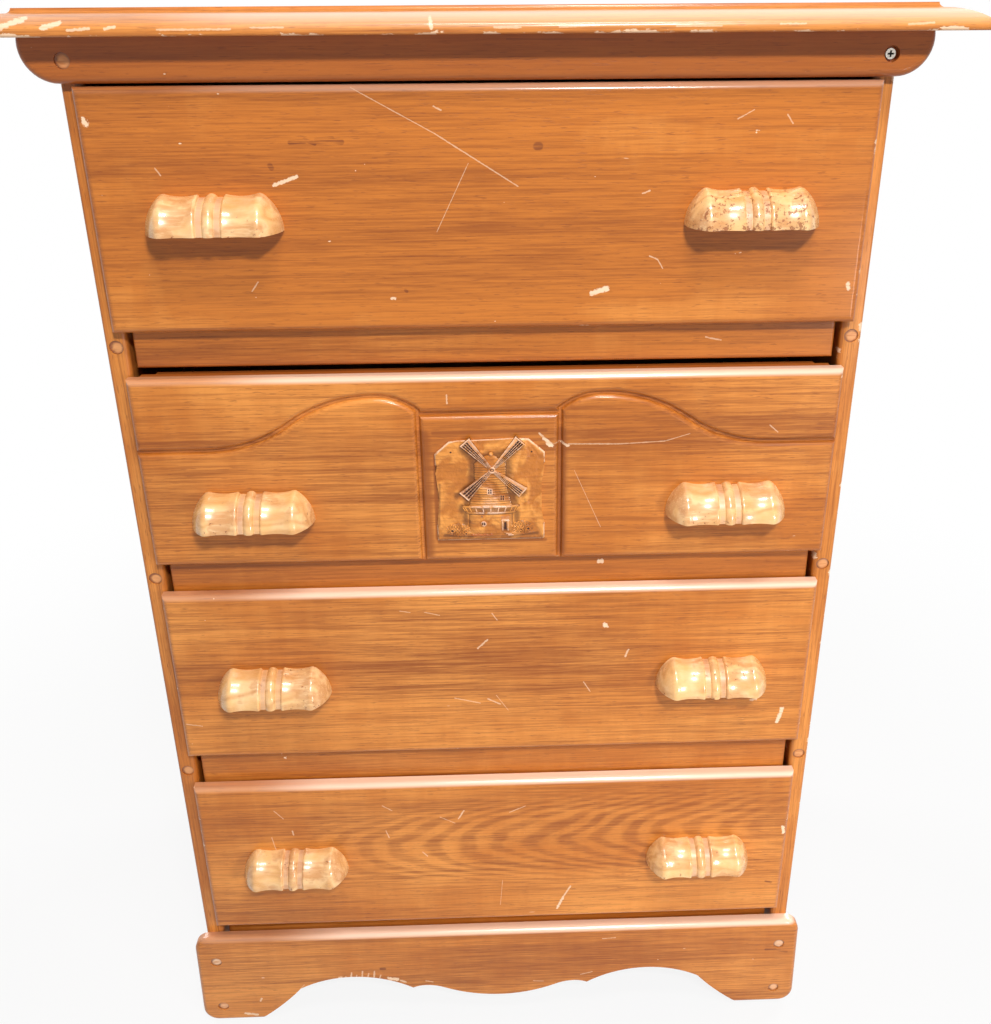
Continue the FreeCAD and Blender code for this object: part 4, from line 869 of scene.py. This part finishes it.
class CHEST_OT_carve_plaque(bpy.types.Operator):
    """Carve the tile with the mill, its sails, the gallery and the bushes"""
    bl_idname = "chest.carve_plaque"
    bl_label = "Carve the Plaque"

    def execute(self, context):
        sizes = context.scene.chest_plaque
        low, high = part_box("plaque")
        foot = Vector(((low[0] + high[0]) / 2, high[1] - sizes.tile_thick, low[2]))
        relief = Relief(foot)
        self.carve_tile(relief, sizes)
        self.carve_store(relief)
        self.carve_gallery(relief, sizes.pickets)
        self.carve_tower(relief, sizes.boards)
        for sail in SAILS:
            self.carve_sail(relief, sizes, *sail)
        self.carve_hub(relief)
        self.carve_ground(relief)
        for bush in BUSHES:
            self.carve_bush(relief, sizes.leaves, *bush)
        for flower in FLOWERS:
            self.carve_flower(relief, *flower)
        piece = relief.finish("windmill_plaque", math.radians(32))
        piece.data.materials.append(carved_wood("windmill_plaque", context.scene.chest_tones, foot))
        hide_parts("plaque")
        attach(piece, "drawer_2")
        return {"FINISHED"}

    def carve_tile(self, relief, sizes):
        face = relief.slab(TILE_OUTLINE, -sizes.tile_thick / MM, 0.0, (0.0, 0.0))[1]
        rim = [edge for vert in face for edge in vert.link_edges if edge.other_vert(vert) in face]
        bmesh.ops.bevel(
            relief.mesh, geom=list(dict.fromkeys(rim)), offset=sizes.tile_round, segments=4, profile=0.5,
            affect="EDGES", material=-1)
        for across, up in ((-36.1, 92.3), (38.8, 91.6)):
            relief.turned(across, up, ((1.0, -0.2), (0.9, 0.06)), wash=1.0)

    def carve_store(self, relief):
        """The low store with its porthole and lantern, and the porch with its door and steps."""
        relief.drum(STORE_LEVELS)
        relief.turned(*PORTHOLE, ((2.9, 1.6), (2.7, 2.9), (2.0, 3.1), (1.7, 2.6)))
        relief.turned(*PORTHOLE, ((1.8, 1.8), (1.7, 2.75)), wash=1.0)
        relief.block(*PORTHOLE, 0.5, 3.4, 2.5, 3.0)
        relief.turned(*LANTERN, ((1.5, 1.8), (1.2, 2.5)), wash=0.3, steps=4)
        relief.turned(*LANTERN, ((0.7, 1.8), (0.6, 2.6)), wash=1.0, steps=4)
        relief.block(DOOR_ACROSS, 24.6, 8.0, 4.4, 0.6, 2.5, (-1.0, -0.6))
        relief.slab([(9.6, 21.6), (17.8, 21.6), (16.8, 23.4), (10.6, 23.4)], 0.6, 2.9)
        for across in (DOOR_ACROSS - 2.6, DOOR_ACROSS + 2.6):
            relief.block(across, DOOR_UP, 1.3, DOOR_TALL, 0.6, 2.7)
        relief.block(DOOR_ACROSS, DOOR_UP, 4.0, DOOR_TALL, 0.4, 2.0, (0.9, 0.45))
        leaf = [(12.5, 12.4), (14.7, 12.4), (14.7, 19.4), (DOOR_ACROSS, 20.6), (12.5, 19.4)]
        relief.slab(leaf, 0.4, 2.15, (1.0, 1.0))
        for step in range(4):
            wide, high = 6.4 - 0.4 * step, 2.2 + 0.2 * step
            relief.block(13.4 + 1.8 * step, 10.4 - 1.2 * step, wide, 1.1, 0.4, high)

    def carve_gallery(self, relief, pickets):
        relief.drum(GALLERY_FLOOR)
        # Painted shade inside the gallery, behind its posts
        relief.drum(GALLERY_INSIDE, wash=0.55)
        relief.drum(GALLERY_RAIL)
        for post in range(pickets):
            turn = math.pi * (post + 0.5) / pickets
            near, far = 24.2 * math.cos(turn), 26.8 * math.cos(turn)
            out = 2.6 * math.sin(turn)
            relief.bar((near, 31.6), (far, 36.2), (1.1, 1.3), out - 0.6, out + 0.6)

    def carve_tower(self, relief, boards):
        """The tower, with each board's lower edge proud of the board below, and its cap and windows."""
        foot, top = TOWER_LEVELS[0][0], TOWER_LEVELS[-1][0]
        levels = []
        for board in range(boards):
            # Rows of each board: share up it, how far it stands out, and its painted shade, darkest at its
            # foot
            for share, lip, wash in ((0.0, 0.15, 0.95), (0.16, 0.5, 0.0), (0.9, 0.05, 0.35)):
                up = foot + (top - foot) * (board + share) / boards
                half, bulge = between(TOWER_LEVELS, up)
                levels.append((up, half + lip, bulge + lip, wash))
        relief.drum(levels)
        relief.drum(CAP_LEVELS)
        relief.pebble(1.0, 1.0, 90.2, (2.2, 1.5, 2.2), detail=3)
        for across, up in WINDOWS:
            out = between(TOWER_LEVELS, up)[1] * dome(across / TOWER_ROUND)
            relief.block(across, up, 5.0, 6.0, out - 0.6, out + 0.75, (0.0, 0.0))
            for aside in (-1.0, 1.0):
                for above in (-1.25, 1.25):
                    relief.block(across + aside, up + above, 1.4, 1.9, out, out + 0.85, (1.0, 1.0))

    def carve_sail(self, relief, sizes, degrees, reach, side, board_share):
        """A bed with painted shade between the slats, the tilted wide board, four laths, the slats and the
        bar at the tip.
        """
        ahead = Vector((math.cos(math.radians(degrees)), math.sin(math.radians(degrees))))
        aside = Vector((-ahead.y, ahead.x)) * side
        tip_wide = sizes.sail_wide / MM

        def spot(run, share):
            """A place on the sail: along it, and across it from -1 to 1."""
            half = (SAIL_ROOT_WIDE + (tip_wide - SAIL_ROOT_WIDE) * run / reach) / 2
            return Vector(HUB) + ahead * run + aside * half * share

        def corners(near, far):
            return [spot(SAIL_ROOT, near), spot(reach, near), spot(reach, far), spot(SAIL_ROOT, far)]

        edge = 1 - 2 * board_share
        relief.slab(corners(-1, 1), -0.2, 1.9, (1.0, 1.0))
        board = corners(edge, 1.04)
        face = [(p.x, out, p.y) for p, out in zip(board, (2.5, 2.3, 2.95, 2.95))]
        relief.loft([[(p.x, -0.2, p.y) for p in board], face], (1.0, 0.0))
        for lath in range(4):
            share = -0.97 + (edge + 0.97) * lath / 3
            ends = spot(SAIL_ROOT, share), spot(reach - 0.3, share)
            relief.bar(*ends, (0.4, 0.55 if lath else 0.95), 0.0, 2.85)
        for slat in range(sizes.slats):
            run = FIRST_SLAT + (reach - FIRST_SLAT - LAST_SLAT_SHORT) * slat / (sizes.slats - 1)
            relief.bar(spot(run, -0.95), spot(run, edge), (0.45, 0.45), 0.0, 2.35, (1.0, 0.7, 0.35))
        relief.bar(spot(reach - 0.4, -1.08), spot(reach - 0.4, 1.1), (1.4, 1.4), -0.2, 3.0)

    def carve_hub(self, relief):
        relief.turned(*HUB, ((3.2, 1.6), (3.25, 3.0), (2.8, 3.5), (2.1, 3.5), (1.8, 3.1)))
        relief.turned(*HUB, ((1.0, 2.6), (0.9, 3.35), (0.5, 3.5)))
        relief.turned(*HUB, ((1.85, 2.6), (1.8, 3.14)), wash=0.8)

    def carve_ground(self, relief):
        """A low bank with a row of stones on it."""
        turns = [math.pi * turn / 8 for turn in range(9)]
        rings = []
        for step in range(GROUND_STEPS + 1):
            share = 2 * step / GROUND_STEPS - 1
            half = 0.6 + 2.5 * dome(share)
            middle = 3.6 + 3.4 * share * share + 0.3 * math.sin(9 * share) + half
            bulge = 0.5 + 1.3 * dome(share)
            rings.append([(41.5 * share - 0.5, bulge * math.sin(turn) - 0.2, middle - half * math.cos(turn))
                          for turn in turns])
        relief.loft(rings, (0.15,))
        for stone in range(MOUND_STONES):
            across, up = -17.5 + 17.5 * stone / (MOUND_STONES - 1), 6.6 + 0.4 * math.sin(5 * stone)
            relief.pebble(across, 1.2, up, (2.2, 0.9, 1.3 + 0.3 * math.cos(3 * stone)), wash=-1.0)

    def carve_bush(self, relief, leaves, middle, up, half, tall):
        relief.pebble(middle, 0.0, up, (half, 1.6, tall), detail=3, wash=0.5)
        for leaf in range(leaves):
            turn = leaf * LEAF_TURN
            away = math.sqrt((leaf + 0.5) / leaves)
            across, above = half * away * math.cos(turn), tall * away * math.sin(turn)
            radii = (1.25 + 0.35 * math.sin(7.0 * leaf), 0.6, 0.85)
            relief.pebble(middle + across, 1.5 * dome(away) + 0.15, up + above, radii,
                          turn=turn + 0.9 * math.sin(2.3 * leaf), detail=1, wash=0.16 * (leaf % 3))

    def carve_flower(self, relief, across, up, radius):
        rim = ((radius, 0.8), (radius, 2.1), (radius * 0.8, 2.3), (radius * 0.55, 1.9))
        relief.turned(across, up, rim, steps=16)
        relief.turned(across, up, ((radius * 0.6, 1.0), (radius * 0.55, 1.95)), wash=1.0, steps=16)


class CHEST_OT_finish_insides(bpy.types.Operator):
    """Give the boxes, runners and back their plain wood"""
    bl_idname = "chest.finish_insides"
    bl_label = "Finish the Insides"

    def execute(self, context):
        tones = context.scene.chest_tones
        across = plain_wood("inner_across", WoodCut("x", 41.0), tones)
        lengthways = plain_wood("inner_lengthways", WoodCut("y", 43.0), tones)
        upright = plain_wood("inner_upright", WoodCut("z", 47.0), tones)
        stained = stained_wood("box_front", WoodCut("x", 44.0, figure=0.2, tone=-0.3, red=0.7), tones)
        for n in DRAWERS:
            paint_node("box_front_%d" % n, stained)
            for part in ("box_back", "box_bottom"):
                paint_node("%s_%d" % (part, n), across)
            for side in HANDS:
                paint_node("box_side_%s_%d" % (side, n), lengthways)
                paint_node("runner_%s_%d" % (side, n), lengthways)
        paint_node("back_panel", upright)
        return {"FINISHED"}


class CHEST_OT_finish_fixings(bpy.types.Operator):
    """Give the screws and the glides their metal and plastic"""
    bl_idname = "chest.finish_fixings"
    bl_label = "Finish the Fixings"

    def execute(self, context):
        metal = steel("screw_steel", (0.55, 0.52, 0.48))
        cross = (PLUG_ACROSS, CORNICE_SCREW_UP)
        paint_node("case_screws", steel("case_screw_steel", (0.7, 0.64, 0.56), cross))
        for n in DRAWERS:
            paint_node("pull_screws_%d" % n, metal)
        paint_node("foot_glides", pale_plastic("glide_plastic", (0.7, 0.68, 0.62)))
        return {"FINISHED"}


# Stage, with the photo's camera as it was fitted to the chest's straight edges

FLOOR_HALF = 9.0
# How far behind the base board's face the floor is still seen white
UNDER_BASE = 0.1
CAMERA_PLACE = Vector((0.816, -1076.275, 1113.23)) * MM
CAMERA_YAW = 0.0314
CAMERA_PITCH = 0.4091
CAMERA_ROLL = 0.007
SENSOR_WIDE = 36.0
# In pixels: the photo's longer side and middle, the fitted focal length and the fitted middle of view
PHOTO_LONG = 1024.0
PHOTO_MIDDLE = (495.5, 512.0)
FOCAL_LENGTH = 1030.48
VIEW_MIDDLE = (520.399, 459.204)


def area_lamp(name, place, aim, wide, tall, power):
    data = bpy.data.lights.new(name, "AREA")
    data.shape = "RECTANGLE"
    data.size = wide
    data.size_y = tall
    data.energy = power
    lamp = bpy.data.objects.new(name, data)
    bpy.context.scene.collection.objects.link(lamp)
    lamp.location = place
    lamp.rotation_euler = (Vector(aim) - Vector(place)).to_track_quat("-Z", "Y").to_euler()
    return lamp


class CHEST_OT_set_stage(bpy.types.Operator):
    """Lay the floor, hang the lamps and place the camera"""
    bl_idname = "chest.set_stage"
    bl_label = "Set the Stage"

    def execute(self, context):
        stage = context.scene.chest_stage
        self.lay_floor(stage)
        self.light_room(context.scene, stage)
        area_lamp("key_lamp", (0.35, -1.85, 2.25), (0.0, -0.2, 0.75), 0.35, 0.14, stage.key_power)
        area_lamp("ceiling_lamp", (0.2, -1.05, 2.6), (0.2, -1.00, 0.0), 0.7, 0.3, stage.ceiling_power)
        low = area_lamp("side_lamp", (0.95, -1.35, 0.6), (0.14, -0.2, 0.16), 0.2, 0.2, stage.side_power)
        low.data.spread = math.radians(80)
        for name, side in (("rear_left_lamp", -1), ("rear_right_lamp", 1)):
            area_lamp(name, (1.9 * side, 1.3, 1.9), (0.0, 0.1, 0.6), 1.0, 1.0, stage.rear_power)
        self.place_camera(context.scene)
        context.scene.view_settings.view_transform = "Standard"
        return {"FINISHED"}

    def lay_floor(self, stage):
        """A floor seen nearly white, but for its shadow and the dark under the case behind the base board."""
        shape = bmesh.new()
        bmesh.ops.create_grid(shape, x_segments=2, y_segments=2, size=FLOOR_HALF)
        floor = piece_of(shape, "floor")
        finish = Finish("floor_paint")
        low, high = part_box("base_board")[0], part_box("back_panel")[1]
        x, y = finish.axis("X"), finish.axis("Y")
        beside = (low[0] - x).most(x - high[0]).most(low[1] + UNDER_BASE - y).most(y - high[1])
        away = finish.vector("LENGTH", finish.spot, output="Value")
        white_share = away.ramp(0.6, 1.6, stage.floor_white, 1.0)
        share = finish.seen_directly() * beside.ramp(-12 * MM, 0.0) * white_share
        lit = finish.make("BsdfPrincipled", None, {"Base Color": stage.floor_tone, "Roughness": 0.9})
        white = finish.make("Emission", None, {"Color": WHITE, "Strength": 1.0})
        finish.show(finish.make("MixShader", None, {0: share, 1: lit, 2: white}))
        floor.data.materials.append(finish.material)

    def light_room(self, scene, stage):
        """Soft light from all round, in a room that is itself seen white."""
        scene.world = bpy.data.worlds.new("room")
        nodes = Nodes(scene.world)
        soft = nodes.make("Background", None, {"Color": WHITE, "Strength": stage.room_light})
        white = nodes.make("Background", None, {"Color": WHITE, "Strength": 1.0})
        room = nodes.make("MixShader", None, {0: nodes.seen_directly(), 1: soft, 2: white})
        nodes.node("OutputWorld", None, {"Surface": room})

    def place_camera(self, scene):
        data = bpy.data.cameras.new("photo_camera")
        data.sensor_fit = "AUTO"
        data.sensor_width = SENSOR_WIDE
        data.lens = FOCAL_LENGTH * SENSOR_WIDE / PHOTO_LONG
        data.shift_x = (PHOTO_MIDDLE[0] - VIEW_MIDDLE[0]) / PHOTO_LONG
        data.shift_y = (VIEW_MIDDLE[1] - PHOTO_MIDDLE[1]) / PHOTO_LONG
        data.clip_start = 0.01
        camera = bpy.data.objects.new("photo_camera", data)
        scene.collection.objects.link(camera)
        turned = Matrix.Rotation(-CAMERA_YAW, 4, "Z") @ Matrix.Rotation(math.pi / 2 - CAMERA_PITCH, 4, "X")
        turned = turned @ Matrix.Rotation(-CAMERA_ROLL, 4, "Z")
        camera.matrix_world = Matrix.Translation(CAMERA_PLACE) @ turned
        scene.camera = camera


class CHEST_PT_steps(bpy.types.Panel):
    """Steps that finish the chest"""
    bl_label = "Chest"
    bl_idname = "CHEST_PT_steps"
    bl_space_type = "VIEW_3D"
    bl_region_type = "UI"
    bl_category = "Chest"

    def draw(self, context):
        for step in STEPS:
            self.layout.operator(step.bl_idname)


STEPS = (
    CHEST_OT_stain_case,
    CHEST_OT_stain_fronts,
    CHEST_OT_finish_pulls,
    CHEST_OT_carve_plaque,
    CHEST_OT_finish_insides,
    CHEST_OT_finish_fixings,
    CHEST_OT_set_stage,
)
GROUPS = {"chest_tones": CHEST_PG_tones, "chest_plaque": CHEST_PG_plaque, "chest_stage": CHEST_PG_stage}


def register():
    for name, group in GROUPS.items():
        bpy.utils.register_class(group)
        setattr(bpy.types.Scene, name, bpy.props.PointerProperty(type=group))
    for step in (*STEPS, CHEST_PT_steps):
        bpy.utils.register_class(step)


def unregister():
    for step in (CHEST_PT_steps, *reversed(STEPS)):
        bpy.utils.unregister_class(step)
    for name, group in reversed(GROUPS.items()):
        delattr(bpy.types.Scene, name)
        bpy.utils.unregister_class(group)


def main():
    register()
    bpy.ops.chest.stain_case()
    bpy.ops.chest.stain_fronts()
    bpy.ops.chest.finish_pulls()
    bpy.ops.chest.carve_plaque()
    bpy.ops.chest.finish_insides()
    bpy.ops.chest.finish_fixings()
    bpy.ops.chest.set_stage()


if __name__ == "__main__":
    main()
